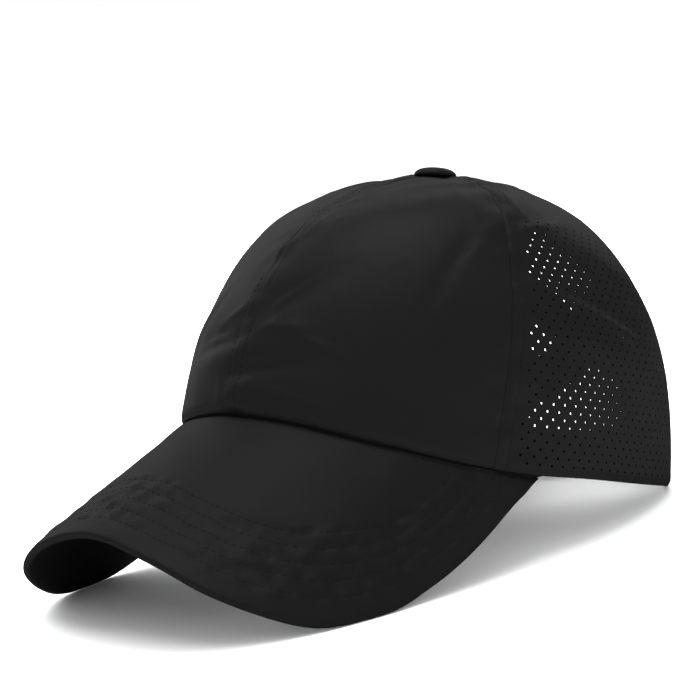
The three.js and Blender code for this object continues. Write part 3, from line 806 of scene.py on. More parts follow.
# %% The punching tree
def punching_tree():
    """Drills at given places, all taken out of a piece at once."""
    sizes = {"Places": "NodeSocketObject", "Diameter": "NodeSocketFloat", "Length": "NodeSocketFloat",
             "Sides": "NodeSocketInt", "Material": "NodeSocketMaterial"}
    tree, given, result, add = node_tree("punched_holes", sizes)
    places = add("GeometryNodeObjectInfo", sockets={"Object": given["Places"]})
    half = add("ShaderNodeMath", {"operation": "MULTIPLY"}, {0: given["Diameter"], 1: 0.5})
    drill = add("GeometryNodeMeshCylinder", sockets={
        "Vertices": given["Sides"], "Radius": half.outputs[0], "Depth": given["Length"]})
    outward = add("GeometryNodeInputNamedAttribute", {"data_type": "FLOAT_VECTOR"}, {"Name": "outward"})
    turned = add("FunctionNodeAlignRotationToVector", {"axis": "Z"}, {"Vector": outward.outputs[0]})
    drills = add("GeometryNodeInstanceOnPoints", sockets={
        "Points": places.outputs["Geometry"], "Instance": drill.outputs[0], "Rotation": turned.outputs[0]})
    real = add("GeometryNodeRealizeInstances", sockets={"Geometry": drills.outputs[0]})
    cut = add("GeometryNodeMeshBoolean", {"operation": "DIFFERENCE", "solver": "MANIFOLD"},
              {0: given["Geometry"], 1: real.outputs[0]})
    painted = add("GeometryNodeSetMaterial",
                  sockets={"Geometry": cut.outputs[0], "Material": given["Material"]})
    tree.links.new(painted.outputs[0], result["Geometry"])
    return tree


PUNCHED = punching_tree()

# %% Places of the holes
HOLE_DIAMETER = 0.00098
HOLE_SIDES = 10
DRILL_LENGTH = 5 * CLOTH
HOLE_PITCH = 0.005
HOLE_ROW_PITCH = 0.0026
FIELD_SEAM_MARGIN = 0.0072
FIELD_LOW_MARGIN = 0.0035
FIELD_EDGE_MARGIN = 0.008
FIELD_TOP_HEIGHT = 0.088
FIELD_MIDDLE_ANGLE = 110.0
FIELD_RISE_STEP = 0.05
FIELD_PAST_OPENING = 6
HOLES_EACH_WAY = 40
TOP_PATCH_TURN = (99, 112)
TOP_PATCH_RISE = (70, 76)


def hole_places():
    """Turn and rise of every hole of one side panel, in staggered rows."""
    fine = np.arange(0, OPENING_TOP_RISE + FIELD_PAST_OPENING, FIELD_RISE_STEP)
    walked = distance_walked(bare_crown(FIELD_MIDDLE_ANGLE, fine))
    places = []
    for row, distance in enumerate(np.arange(FIELD_LOW_MARGIN, walked[-1], HOLE_ROW_PITCH)):
        rise = float(np.interp(distance, walked, fine))
        height = float(bare_crown(FIELD_MIDDLE_ANGLE, rise)[2])
        ring = float(ring_radius(FIELD_MIDDLE_ANGLE, rise))
        number = np.arange(-HOLES_EACH_WAY, HOLES_EACH_WAY + 1) + row % 2 / 2
        turn = FIELD_MIDDLE_ANGLE + np.degrees(number * HOLE_PITCH / ring)
        front = seam_angle(rise) + np.degrees(FIELD_SEAM_MARGIN / ring)
        back = 180 - opening_angle(rise) - np.degrees(FIELD_EDGE_MARGIN / ring)
        inside = (turn > front) & (turn < back) & (height < FIELD_TOP_HEIGHT)
        patch = (turn > TOP_PATCH_TURN[0]) & (turn < TOP_PATCH_TURN[1])
        patch &= TOP_PATCH_RISE[0] < rise < TOP_PATCH_RISE[1]
        places += [(float(t), rise) for t in turn[inside | patch]]
    return np.array(places)


HOLES = hole_places()
print(len(HOLES), "holes in each side panel")

# %% Two side panels
def corner_rise(turn, rise):
    """The lower back corner is rounded: how much the bottom edge rises near the opening."""
    to_edge = np.radians(180 - np.abs(turn) - opening_angle(rise)) * plan_radius(turn)
    inside = np.maximum(BACK_CORNER_RADIUS - to_edge, 0)
    up = BACK_CORNER_RADIUS - np.sqrt(np.maximum(BACK_CORNER_RADIUS ** 2 - inside ** 2, 0))
    return rise_at(turn, up)


def side_hem(turn, rise):
    """Extra thickness of the hems round the rim and round the back opening."""
    edge = seam_distances(turn, rise)[2]
    return np.maximum(rim_hem(turn, rise), HEM * (1 - soft_step((edge - HEM_WIDTH) / HEM_FALL)))


side_rises = even_rises(SIDE_MIDDLE_ANGLE, 0, PANEL_TOP_RISE)[0]
side_rises[np.argmin(np.abs(side_rises - OPENING_TOP_RISE))] = OPENING_TOP_RISE
for label, side in (("left", 1), ("right", -1)):
    panel = panel_piece(
        "side_panel_cloth_" + label, side_rises, SIDE_COLUMNS,
        lambda rise, side=side: side * (seam_angle(rise) + gap_angle(rise)),
        lambda rise, side=side: side * (180 - np.maximum(opening_angle(rise), gap_angle(rise))),
        corner_rise, side_hem)
    centres = bpy.data.meshes.new("hole_places_" + label)
    turn, rise = side * HOLES[:, 0], HOLES[:, 1]
    centres.from_pydata([tuple(p) for p in crown_point(turn, rise, CLOTH / 2)], [], [])
    outward = centres.attributes.new("outward", "FLOAT_VECTOR", "POINT")
    outward.data.foreach_set("vector", lean(crown_normal(turn, rise)).ravel())
    marks = bpy.data.objects.new("hole_places_" + label, centres)
    bpy.context.scene.collection.objects.link(marks)
    add_tree(panel, PUNCHED, {
        "Places": marks, "Diameter": HOLE_DIAMETER, "Length": DRILL_LENGTH,
        "Sides": HOLE_SIDES, "Material": SHELL})
    settle(panel)
    bpy.data.objects.remove(marks)
    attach(panel, "root")
    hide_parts("side_panel_" + label)
    print(panel.name, len(panel.data.polygons), "faces after punching")

# %% [markdown]
# ## Topstitching of the crown
# Two rows run beside the centre seam, one behind each front seam, one along each side of the back opening
# and one along the rim of each side panel. Each is a line a hair above the cloth, which the stitch tree
# follows.

# %% Crown stitch lines
STITCH_STAND = 0.00002
SEAM_ROW_FOOT = 1.2
CENTRE_ROW_TOP, SIDE_ROW_TOP = 84, 83
HEM_ROW_FOOT, HEM_ROW_TOP = 6, 70
RIM_ROW_START, RIM_ROW_END = 84, 152
RIM_ROW_HEIGHT = 0.0022
ROW_SAMPLES, RIM_ROW_SAMPLES = 90, 120


def line_on_crown(turn_at, lowest, highest):
    """A line just above the cloth, whose turn is a function of its rise."""
    rise = np.linspace(lowest, highest, ROW_SAMPLES)
    return crown_point(turn_at(rise), rise, -STITCH_STAND)


def beside(turn_at, distance):
    """The same line moved sideways over the cloth."""
    return lambda rise: turn_at(rise) + np.degrees(distance / ring_radius(turn_at(rise), rise))


lines = []
for side in (1, -1):
    centre_row = beside(lambda rise: 0 * rise, side * CENTRE_ROW)
    side_row = beside(lambda rise, side=side: side * seam_angle(rise), side * SIDE_ROW)
    hem_row = beside(lambda rise, side=side: side * (180 - opening_angle(rise)), -side * HEM_ROW)
    lines.append(line_on_crown(centre_row, SEAM_ROW_FOOT, CENTRE_ROW_TOP))
    lines.append(line_on_crown(side_row, SEAM_ROW_FOOT, SIDE_ROW_TOP))
    lines.append(line_on_crown(hem_row, HEM_ROW_FOOT, HEM_ROW_TOP))
    row_turn = np.linspace(side * RIM_ROW_START, side * RIM_ROW_END, RIM_ROW_SAMPLES)
    lines.append(crown_point(row_turn, rise_at(row_turn, RIM_ROW_HEIGHT), -STITCH_STAND))
make_stitches("crown_stitches", lines)

# %% [markdown]
# ## Seam tapes
# Inside a cap a narrow tape covers each seam's raw edges. It is easy to forget, but without it light shines
# through the seams, and the inside, which shows from below and through the back, looks bare.

# %% Seam tapes inside the crown
TAPE_WIDTH, SIDE_TAPE_WIDTH = 0.011, 0.0099
TAPE_THICKNESS = 0.0004
TAPE_CLEARANCE = 0.00005
TAPE_NARROWEST_RING = 0.004
TAPE_SELVAGE, TAPE_SELVAGE_PLACE, TAPE_SELVAGE_WIDTH = 0.25, 0.42, 0.05
TAPE_FOOT_HEIGHT = 0.0155
TAPE_TOP_RISE = PANEL_TOP_RISE - 0.5
BACK_TAPE_FOOT_RISE = OPENING_TOP_RISE + 0.7
TAPE_ROWS, TAPE_COLUMNS = 110, 9


def seam_tape(name, turn_at, lowest, width=TAPE_WIDTH):
    """A tape that follows a seam on the crown's inner face up to the button."""
    rises = np.linspace(lowest, TAPE_TOP_RISE, TAPE_ROWS)[:, None]
    across = np.linspace(-0.5, 0.5, TAPE_COLUMNS)[None, :]
    ring = np.maximum(ring_radius(turn_at(rises), rises), TAPE_NARROWEST_RING)
    turn = turn_at(rises) + np.degrees(across * width / ring)
    rises = np.broadcast_to(rises, turn.shape)
    start = CLOTH + TAPE_CLEARANCE + side_hem(turn, rises)
    swell = 1 + TAPE_SELVAGE * bump(np.abs(across) - TAPE_SELVAGE_PLACE, TAPE_SELVAGE_WIDTH)
    end = start + TAPE_THICKNESS * swell
    points, faces = wall(crown_point(turn, rises, start), crown_point(turn, rises, end))
    places = cloth_places(across * width, np.radians(rises) * CROWN_HEIGHT)
    tape = make_piece(name, points, faces, on_both_faces(places), BAND)
    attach(tape, "root")
    print(tape.name, len(tape.data.polygons), "faces")


seam_tape("seam_tape_front", lambda rise: 0 * rise, float(rise_at(0, TAPE_FOOT_HEIGHT)))
seam_tape("seam_tape_back", lambda rise: 180 + 0 * rise, BACK_TAPE_FOOT_RISE)
side_tape_foot = float(rise_at(SEAM_ANGLE_LOW, TAPE_FOOT_HEIGHT))
for label, side in (("left", 1), ("right", -1)):
    seam_tape("seam_tape_" + label, lambda rise, side=side: side * seam_angle(rise),
              side_tape_foot, SIDE_TAPE_WIDTH)

# %% [markdown]
# ## The peak
# The peak is a stiff flat pattern, bent into a bow and pitched down from the forehead, so its surface is a
# formula of two places on that flat pattern. The cloth is stitched to the core in rows that follow the
# outer edge, and each row pulls the cloth in and puckers it. The edge is round, where the cloth turns under
# the core.

# %% The bent sheet
PEAK_PITCH = 37.5
PEAK_REACH = 0.07
PEAK_HALF_WIDTH = 0.0843
PEAK_BOW = 0.0573
PEAK_BOW_ROUND = 0.65
PEAK_THICKNESS = 0.003
PEAK_END_BLEND = 0.2
RIM_CLEARANCE = 0.0003
CAD_CLOTH = 0.0012
PEAK_OUTLINE = [
    (0, 0.995), (0.4, 1.024), (0.67, 0.988), (0.87, 0.81), (0.965, 0.51), (0.995, 0.17), (0.998, -0.21),
]


def peak_sheet(across, reach):
    """The peak's sheet in the rim frame, by distances across and forwards on its flat pattern."""
    share = across / PEAK_HALF_WIDTH
    bow = -PEAK_BOW * (PEAK_BOW_ROUND * share ** 2 + (1 - PEAK_BOW_ROUND) * share ** 4)
    c, s = math.cos(math.radians(PEAK_PITCH)), math.sin(math.radians(PEAK_PITCH))
    return np.stack([across, -FRONT_DEPTH - reach * c - bow * s, FRONT_RISE - reach * s + bow * c], -1)


def peak_reach_of(point):
    """Where a point of the rim's plan falls on the peak's flat pattern."""
    bow = peak_sheet(point[..., 0], 0 * point[..., 0])[..., 1] + FRONT_DEPTH
    return (-FRONT_DEPTH - point[..., 1] + bow) / math.cos(math.radians(PEAK_PITCH))


def smooth_line(points, samples, each=60):
    """A centripetal curve through points, sampled in even steps of its length."""
    p = np.concatenate([[2 * points[0] - points[1]], points, [2 * points[-1] - points[-2]]])
    pieces = []
    for a, b, c, d in zip(p[:-3], p[1:-2], p[2:-1], p[3:]):
        t = np.cumsum([0] + [np.linalg.norm(w - v) ** 0.5 for v, w in ((a, b), (b, c), (c, d))])
        u = np.linspace(t[1], t[2], each, endpoint=False)[:, None]
        ab = (t[1] - u) / (t[1] - t[0]) * a + (u - t[0]) / (t[1] - t[0]) * b
        bc = (t[2] - u) / (t[2] - t[1]) * b + (u - t[1]) / (t[2] - t[1]) * c
        cd = (t[3] - u) / (t[3] - t[2]) * c + (u - t[2]) / (t[3] - t[2]) * d
        abc = (t[2] - u) / (t[2] - t[0]) * ab + (u - t[0]) / (t[2] - t[0]) * bc
        bcd = (t[3] - u) / (t[3] - t[1]) * bc + (u - t[1]) / (t[3] - t[1]) * cd
        pieces.append((t[2] - u) / (t[2] - t[1]) * abc + (u - t[1]) / (t[2] - t[1]) * bcd)
    line = np.concatenate(pieces + [points[-1:]])
    walked = distance_walked(line)
    even = np.linspace(0, walked[-1], samples)
    return np.stack([np.interp(even, walked, line[:, k]) for k in range(line.shape[1])], -1)


half_outline = np.array(PEAK_OUTLINE) * [PEAK_HALF_WIDTH, PEAK_REACH]
peak_end = bare_crown(PEAK_END_ANGLE, 0)
end_place = np.array([peak_end[0] + CAD_CLOTH, peak_reach_of(peak_end)])
right_side = np.concatenate([half_outline, [end_place]])
OUTLINE = smooth_line(np.concatenate([right_side[:0:-1] * [-1, 1], right_side]), samples=900)
print("peak's outer edge", round(1000 * float(distance_walked(OUTLINE)[-1])), "mm long")

# %% [markdown]
# The peak's mesh is a grid: u runs from one end of the peak to the other, and v from the rim to the outer
# edge. At its ends the peak gets thin, tucks in behind the crown's cloth and follows the rim, as a sewn
# peak does.

# %% The peak's grid
PEAK_GRID_ACROSS = 280
PEAK_GRID_OUT = 84
PEAK_END_TAPER = 0.06
PEAK_END_THIN_SHARE = 0.25
PEAK_END_TUCK = 0.0015
PEAK_END_RISE = 0.0007
NORMAL_STEADY_COLUMNS = 8
NORMAL_SMOOTHINGS = 12
u = np.linspace(-1, 1, PEAK_GRID_ACROSS + 1)[:, None]
v = np.linspace(0, 1, PEAK_GRID_OUT + 1)[None, :]
rim_turn = PEAK_END_ANGLE * u
rim_point = bare_crown(rim_turn, 0 * u)
rim_place = np.stack([rim_point[..., 0], peak_reach_of(rim_point)], -1)
outline_share = np.linspace(0, 1, len(OUTLINE))
edge_place = np.stack([np.interp((u + 1) / 2, outline_share, OUTLINE[:, k]) for k in (0, 1)], -1)
flat = rim_place + (edge_place - rim_place) * v[..., None]
drop = rim_height(rim_turn) - RIM_CLEARANCE - peak_sheet(rim_place[..., 0], rim_place[..., 1])[..., 2]
near_end = soft_step(1 - (1 - np.abs(u)) / PEAK_END_BLEND)
lift = drop * (near_end + (1 - near_end) * (1 - v) ** 2)
top = peak_sheet(flat[..., 0], flat[..., 1]) + np.stack([0 * lift, 0 * lift, lift], -1)
fullness = soft_step((1 - np.abs(u)) / PEAK_END_TAPER)
tuck = PEAK_END_TUCK * (1 - fullness)
top = top - crown_normal(rim_turn, 0 * u) * tuck[..., None]
top[..., 2] += PEAK_END_RISE * (1 - fullness)
reach = np.linalg.norm(edge_place - rim_place, axis=-1)
thickness = PEAK_THICKNESS * (PEAK_END_THIN_SHARE + (1 - PEAK_END_THIN_SHARE) * fullness)


def grid_normal(points):
    """Unit upward normals of a grid of points."""
    normal = np.cross(np.gradient(points, axis=0), np.gradient(points, axis=1))
    normal /= np.linalg.norm(normal, axis=-1, keepdims=True)
    return np.where(normal[..., 2:] < 0, -normal, normal)


normal = grid_normal(top)
normal[:NORMAL_STEADY_COLUMNS] = normal[NORMAL_STEADY_COLUMNS]
normal[-NORMAL_STEADY_COLUMNS:] = normal[-NORMAL_STEADY_COLUMNS - 1]
for _ in range(NORMAL_SMOOTHINGS):
    normal[1:-1] = (normal[:-2] + 2 * normal[1:-1] + normal[2:]) / 4
normal /= np.linalg.norm(normal, axis=-1, keepdims=True)
print("peak grid", top.shape[:2], "longest reach", round(1000 * float(reach.max())), "mm")

# %% Relief of the stitched cloth
PEAK_ROWS = [0.031, 0.0255, 0.02, 0.0145, 0.009]
ROW_TURN_START, ROW_TURN_LENGTH, ROW_TURN_DROP = 0.4, 0.25, 0.2
ROW_DIP, ROW_DIP_HALF_WIDTH = 0.00015, 0.0009
QUILTING, QUILTING_FADE = 0.00017, 0.004
PEAK_WAVES, UNDER_WAVES = 0.0001, 0.00008
PEAK_JOINT_ROLL_REACH = 0.0013
quilt = wave_field(seed=21, shortest=0.004, longest=0.009)
quilt_long = wave_field(seed=22, shortest=0.012, longest=0.03)
row_bend = 1 - ROW_TURN_DROP * soft_step((np.abs(u) - ROW_TURN_START) / ROW_TURN_LENGTH)
from_edge = (1 - v) * reach / row_bend
sunk = RIM_ROLL * bump(v * reach, PEAK_JOINT_ROLL_REACH)
for row in PEAK_ROWS:
    sunk = sunk + ROW_DIP * bump(from_edge - row, ROW_DIP_HALF_WIDTH)
stitched = soft_step(1 + (PEAK_ROWS[0] - from_edge) / QUILTING_FADE)
stitched = stitched * soft_step(1 + (from_edge - PEAK_ROWS[-1]) / QUILTING_FADE)
sunk = sunk + stitched * QUILTING * quilt(top) + (1 + stitched) * PEAK_WAVES * quilt_long(top)
face = top - normal * sunk[..., None]
under = top - normal * (thickness + UNDER_WAVES * quilt_long(top))[..., None]
print("the peak's cloth sinks by up to", round(1000 * float(sunk.max()), 2), "mm")

# %% The round edge and the closed body
ROUND_STEPS = 9
EDGE_ROWS = 3
half = thickness / 2
tangent = np.gradient(face[:, -1], axis=0)
tangent /= np.linalg.norm(tangent, axis=-1, keepdims=True)
outward = np.cross(normal[:, -1], tangent)
outward /= np.linalg.norm(outward, axis=-1, keepdims=True)
towards_edge = face[:, -1] - face[:, -2 * EDGE_ROWS]
outward *= np.where((outward * towards_edge).sum(-1, keepdims=True) < 0, -1, 1)
edge_middle = top[:, -1] - (normal[:, -1] + outward) * half
bend = np.radians(np.linspace(90, -90, ROUND_STEPS))
arc = outward[:, None] * np.cos(bend)[None, :, None] + normal[:, -1:] * np.sin(bend)[None, :, None]
arc = edge_middle[:, None] + arc * half[:, None]
kept = PEAK_GRID_OUT - EDGE_ROWS
joint_turn, joint_rise = rim_turn[:, 0], 0 * u[:, 0]
joint_depth = relief(joint_turn, joint_rise) + CLOTH + HEM + tuck[:, 0]
inner_point = rim_point[:, 0] - crown_normal(joint_turn, joint_rise) * joint_depth[:, None]
inner_top = inner_point.copy()
inner_top[:, 2] = face[:, 0, 2]
inner_low = inner_point.copy()
inner_low[:, 2] = np.minimum(under[:, 0, 2], inner_top[:, 2] - half[:, 0])
rings = np.concatenate([
    inner_top[:, None], face[:, :kept], arc, under[:, kept - 1:0:-1], inner_low[:, None],
], axis=1)
points, faces = tube(stand(rings))
profile = distance_walked(rings[PEAK_GRID_ACROSS // 2])
places = with_hubs(cloth_places(rings[..., 0], profile[None, :]))
peak_piece = make_piece("peak_cloth", points, faces, places, PEAK_CLOTH)
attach(peak_piece, "root")
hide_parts("peak")
print(peak_piece.name, len(peak_piece.data.polygons), "faces")

# %% Peak stitches
ROW_RIM_MARGIN = 0.004
lines = []
for row in PEAK_ROWS:
    line = []
    for distance, surface, out in zip(from_edge, face, normal):
        if distance[0] > row + ROW_RIM_MARGIN:
            place = float(np.interp(-row, -distance, np.arange(len(distance))))
            k = int(place)
            share = place - k
            line.append(surface[k] * (1 - share) + surface[k + 1] * share + out[k] * STITCH_STAND)
    lines.append(stand(np.array(line)))
make_stitches("peak_stitches", lines, pitch=0.003, length=0.0021, width=0.0003, slot="peak_cloth")

# %% [markdown]
# ## The button
# A metal disc covered with the crown's cloth hides the point where the seams meet. A turned profile gives
# its form, and the cloth's pull round the rim is a ring of faint gathers.

# %% The covered button
BUTTON_RADIUS = 0.0077
BUTTON_HEIGHT = 0.0039
BUTTON_SIDE = 0.0011
BUTTON_STAND = 0.0003
BUTTON_FULLNESS = 0.75
BUTTON_LOWEST, BUTTON_HIGHEST = -40, 84
BUTTON_RINGS, BUTTON_STEP = 15, 5.0
UNDERCUT, UNDERCUT_DROP, UNDERCUT_BEND = 0.0009, 0.0013, 2.2
BUTTON_STEM = 0.003
STEM_RADIUS = PANEL_TOP_HOLE - 0.0006
STEM_TOP = 0.0002
BUTTON_GATHER, BUTTON_GATHER_COUNT, BUTTON_GATHER_START = 0.006, 17, 0.005
around = np.radians(np.arange(0, 360, BUTTON_STEP))
angles = np.radians(np.linspace(BUTTON_LOWEST, BUTTON_HIGHEST, BUTTON_RINGS))
dome, foot = np.maximum(angles, 0), np.minimum(angles, 0)
radius = BUTTON_RADIUS * np.cos(dome) ** BUTTON_FULLNESS - UNDERCUT * (1 - np.cos(foot * UNDERCUT_BEND))
height = BUTTON_SIDE + (BUTTON_HEIGHT - BUTTON_SIDE) * np.sin(dome) + UNDERCUT_DROP * np.sin(foot)
profile_r = np.concatenate([[STEM_RADIUS, STEM_RADIUS], radius])[:, None]
profile_z = np.concatenate([[-BUTTON_STEM, STEM_TOP], height])[:, None]
gathers = 1 + BUTTON_GATHER * np.sin(around * BUTTON_GATHER_COUNT) * (profile_r > BUTTON_GATHER_START)
gathered_r = profile_r * gathers
rings = np.stack([gathered_r * np.cos(around), gathered_r * np.sin(around), profile_z + 0 * around], -1)
rings += np.array([0, TOP_SHIFT, CROWN_HEIGHT + BUTTON_STAND])
points, faces = tube(stand(rings))
places = with_hubs(cloth_places(rings[..., 0], rings[..., 1]))
button = make_piece("covered_button", points, faces, places, SHELL, crisp=50)
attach(button, "root")
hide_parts("top_button")
print(button.name, "is", round(2000 * BUTTON_RADIUS, 1), "mm wide")

# %% [markdown]
# ## The sweatband
# A soft knitted band is sewn inside the rim. It shows through the back opening and from below, and it is
# why the lowest rows of holes look dark.

# %% The sweatband
BAND_HEIGHT = 0.014
BAND_END_ANGLE = 148.0
BAND_THICKNESS = 0.0012
BAND_EDGE_THINNING, BAND_EDGE_SHARPNESS = 0.55, 6
BAND_RIB, BAND_RIB_COUNT = 0.00015, 90
BAND_JOINT_COVER = 0.0022
BAND_COVER_PAST_PEAK, BAND_COVER_FADE, BAND_COVER_SHARPNESS = 4, 6, 3
BAND_ROWS, BAND_COLUMNS = 12, 361
band_turn = np.linspace(-BAND_END_ANGLE, BAND_END_ANGLE, BAND_COLUMNS)[None, :]
band_share = np.linspace(0, 1, BAND_ROWS)[:, None]
low, high = rise_at(band_turn, RIM_CLEARANCE), rise_at(band_turn, BAND_HEIGHT)
band_rise = low + (high - low) * band_share
by_peak = soft_step((PEAK_END_ANGLE + BAND_COVER_PAST_PEAK - np.abs(band_turn)) / BAND_COVER_FADE)
covering = BAND_JOINT_COVER * by_peak * (1 - band_share) ** BAND_COVER_SHARPNESS
swell = BAND_THICKNESS * (1 - BAND_EDGE_THINNING * np.abs(2 * band_share - 1) ** BAND_EDGE_SHARPNESS)
outer_depth = CLOTH + HEM + RIM_CLEARANCE
ribs = BAND_RIB * np.sin(np.radians(band_turn) * BAND_RIB_COUNT)
downwards = covering[..., None] * lean(np.array([0, 0, -1.0]))
outer = crown_point(band_turn, band_rise, outer_depth) + downwards
inner = crown_point(band_turn, band_rise, outer_depth + swell + ribs) + downwards
points, faces = wall(outer, inner)
places = cloth_places(np.radians(band_turn) * HALF_HEAD, band_share * BAND_HEIGHT)
band = make_piece("sweatband_knit", points, faces, on_both_faces(places), BAND)
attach(band, "root")
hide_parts("sweatband")
print(band.name, len(band.data.polygons), "faces")

# %% [markdown]
# ## Straps and closure
# The two straps are folded cloth, sixteen millimetres wide, sewn under the opening's edges and crossing
# behind the head. Each is a flat rounded section carried along a path on the crown that sags a little
# inwards. The closure is made the same way from two tabs that lap over each other, and a strip of hook
# tape.

# %% Straps as a section along a path
STRAP_WIDTH = 0.016
STRAP_THICKNESS = 0.0011
STRAP_SEAM = 0.007
STRAP_SAG = 0.009
STRAP_SLACK_RISE = 1.5
FOLD_SWELL, FOLD_SWELL_PLACE, FOLD_SWELL_WIDTH = 0.25, 0.86, 0.09
ROW_GROOVE, ROW_GROOVE_PLACE, ROW_GROOVE_WIDTH = 0.18, 0.72, 0.05
STRAP_EDGE_SHARPNESS = 16
STRAP_COLUMNS = 15
SEWN_BLEND = 4
EDGE_ROW_ENDS = 3
STRAP_STITCH = {"pitch": 0.0026, "length": 0.002, "width": 0.00034}
STRAP_HIGH_RISE, STRAP_CROSS_RISE, STRAP_LOW_RISE = 44.5, 33.5, 17.5
CAD_STRAP_THICKNESS = 0.0012
sewn_angle = math.degrees(STRAP_SEAM / float(plan_radius(OPENING_SIDE_ANGLE)))


def sewn_depth_of(width, thickness):
    """Depth of a flat strap's middle under the round crown, so that its edges clear the cloth."""
    return CAD_CLOTH + 3 * RIM_CLEARANCE + thickness / 2 + width ** 2 / 8 / HALF_HEAD


def smooth_crown_point(turn, rise, depth):
    """A point of the crown with only its broad folds, for pieces that hang free of the cloth."""
    inwards = np.asarray(depth + fold_depth(turn, rise, BROAD_FOLDS))
    return bare_crown(turn, rise) - crown_normal(turn, rise) * inwards[..., None]


def strap_frame(centre, facing):
    """Unit directions across and out of a strap along its path."""
    along = np.gradient(centre, axis=0)
    along /= np.linalg.norm(along, axis=-1, keepdims=True)
    across = np.cross(facing, along)
    across /= np.linalg.norm(across, axis=-1, keepdims=True)
    return across, np.cross(along, across)


def strap_piece(name, centre, facing, width, thickness, material, end_round=0.0):
    """A flat strap with rounded edges; end_round rounds the corners of its last end."""
    across, out = strap_frame(centre, facing)
    walked = distance_walked(centre)
    left = walked[-1] - walked
    near = np.maximum(end_round - left, 0)
    narrow = end_round - np.sqrt(np.maximum(end_round ** 2 - near ** 2, 0))
    half_width = width / 2 - narrow
    t = np.linspace(-1, 1, STRAP_COLUMNS)
    fold = FOLD_SWELL * bump(np.abs(t) - FOLD_SWELL_PLACE, FOLD_SWELL_WIDTH)
    groove = ROW_GROOVE * bump(np.abs(t) - ROW_GROOVE_PLACE, ROW_GROOVE_WIDTH)
    lens = thickness / 2 * np.sqrt(1 - np.abs(t) ** STRAP_EDGE_SHARPNESS) * (1 + fold - groove)
    side = np.concatenate([t, t[-2:0:-1]])
    thick = np.concatenate([lens, -lens[-2:0:-1]])
    rings = (centre[:, None] + across[:, None] * (half_width[:, None] * side)[..., None]
             + out[:, None] * thick[None, :, None])
    points, faces = tube(stand(rings))
    places = with_hubs(cloth_places(walked[:, None], side[None, :] * width / 2))
    return make_piece(name, points, faces, places, material, crisp=60)


def edge_lines(centre, facing, width, height, margin=0.0022):
    """Stitch lines near both edges of a strap, on its outer face."""
    across, out = strap_frame(centre, facing)
    rows = [stand(centre + across * s * (width / 2 - margin) + out * height) for s in (1, -1)]
    return [row[EDGE_ROW_ENDS:-EDGE_ROW_ENDS] for row in rows]


# %% Cross straps
def cross_strap_path(side, layer):
    """Points and outward directions along a strap that starts high at one side and ends low at the other."""
    start = -float(opening_angle(np.array(STRAP_HIGH_RISE))) - sewn_angle
    end = float(opening_angle(np.array(STRAP_LOW_RISE))) + sewn_angle
    knots = np.array([
        [start, STRAP_HIGH_RISE],
        [start / 2, (STRAP_HIGH_RISE + STRAP_CROSS_RISE) / 2],
        [0, STRAP_CROSS_RISE],
        [end / 2, (STRAP_LOW_RISE + STRAP_CROSS_RISE) / 2 - STRAP_SLACK_RISE],
        [end, STRAP_LOW_RISE],
    ])
    line = smooth_line(knots, samples=90)
    offset, rise = line[:, 0], line[:, 1]
    middle = soft_step(np.minimum(offset - start, end - offset) / sewn_angle / SEWN_BLEND)
    sag = STRAP_SAG * np.cos(np.pi / 2 * offset / max(end, -start)) ** 2
    depth = sewn_depth_of(STRAP_WIDTH, CAD_STRAP_THICKNESS)
    depth = depth + middle * (sag - layer * (CAD_STRAP_THICKNESS + 2 * RIM_CLEARANCE))
    turn = 180 + side * offset
    return smooth_crown_point(turn, rise, depth), crown_normal(turn, rise)


lines = []
for label, side, layer in (("upper", 1, 1), ("lower", -1, 0)):
    centre, facing = cross_strap_path(side, layer)
    strap = strap_piece("crossing_strap_" + label, centre, facing, STRAP_WIDTH, STRAP_THICKNESS, STRAP)
    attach(strap, "root")
    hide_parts("cross_strap_" + label)
    lines += edge_lines(centre, facing, STRAP_WIDTH, STRAP_THICKNESS / 2)
    print(strap.name, round(1000 * float(distance_walked(centre)[-1])), "mm long")
make_stitches("strap_stitches", lines, slot="strap_webbing", **STRAP_STITCH)

# %% Closure tabs
TAB_WIDTH = 0.015
TAB_HEIGHT = 0.0125
TAB_THICKNESS = 0.001
TAB_OVERLAP = 0.05
TAB_OFFSET = 0.004
TAB_BEND = 0.012
TAB_ROW_MARGIN = 0.0018
TAB_CORNERS = {"outer": 0.004, "inner": 0.003}
CAD_TAB_THICKNESS = 0.0012
tab_edge = float(opening_angle(rise_at(OPENING_SIDE_ANGLE, TAB_HEIGHT)))
half_overlap = math.degrees(TAB_OVERLAP / 2 / BACK_DEPTH)
tab_offset = math.degrees(TAB_OFFSET / BACK_DEPTH)
tab_bend = math.degrees(TAB_BEND / BACK_DEPTH)
sewn_depth = sewn_depth_of(TAB_WIDTH, CAD_TAB_THICKNESS)
layer_step = CAD_TAB_THICKNESS + RIM_CLEARANCE


def tab_path(start, end, depth_at, samples=80):
    """Points and outward directions of a level path, between two angles from the back's middle line."""
    offset = np.linspace(start, end, samples)
    turn = 180 + offset
    rise = rise_at(turn, TAB_HEIGHT)
    return smooth_crown_point(turn, rise, depth_at(offset)), crown_normal(turn, rise)


def inner_depth(offset):
    """The inner tab lies one layer deeper where the outer one laps over it."""
    return sewn_depth + layer_step * (1 - soft_step((offset - tab_offset - half_overlap) / tab_bend))


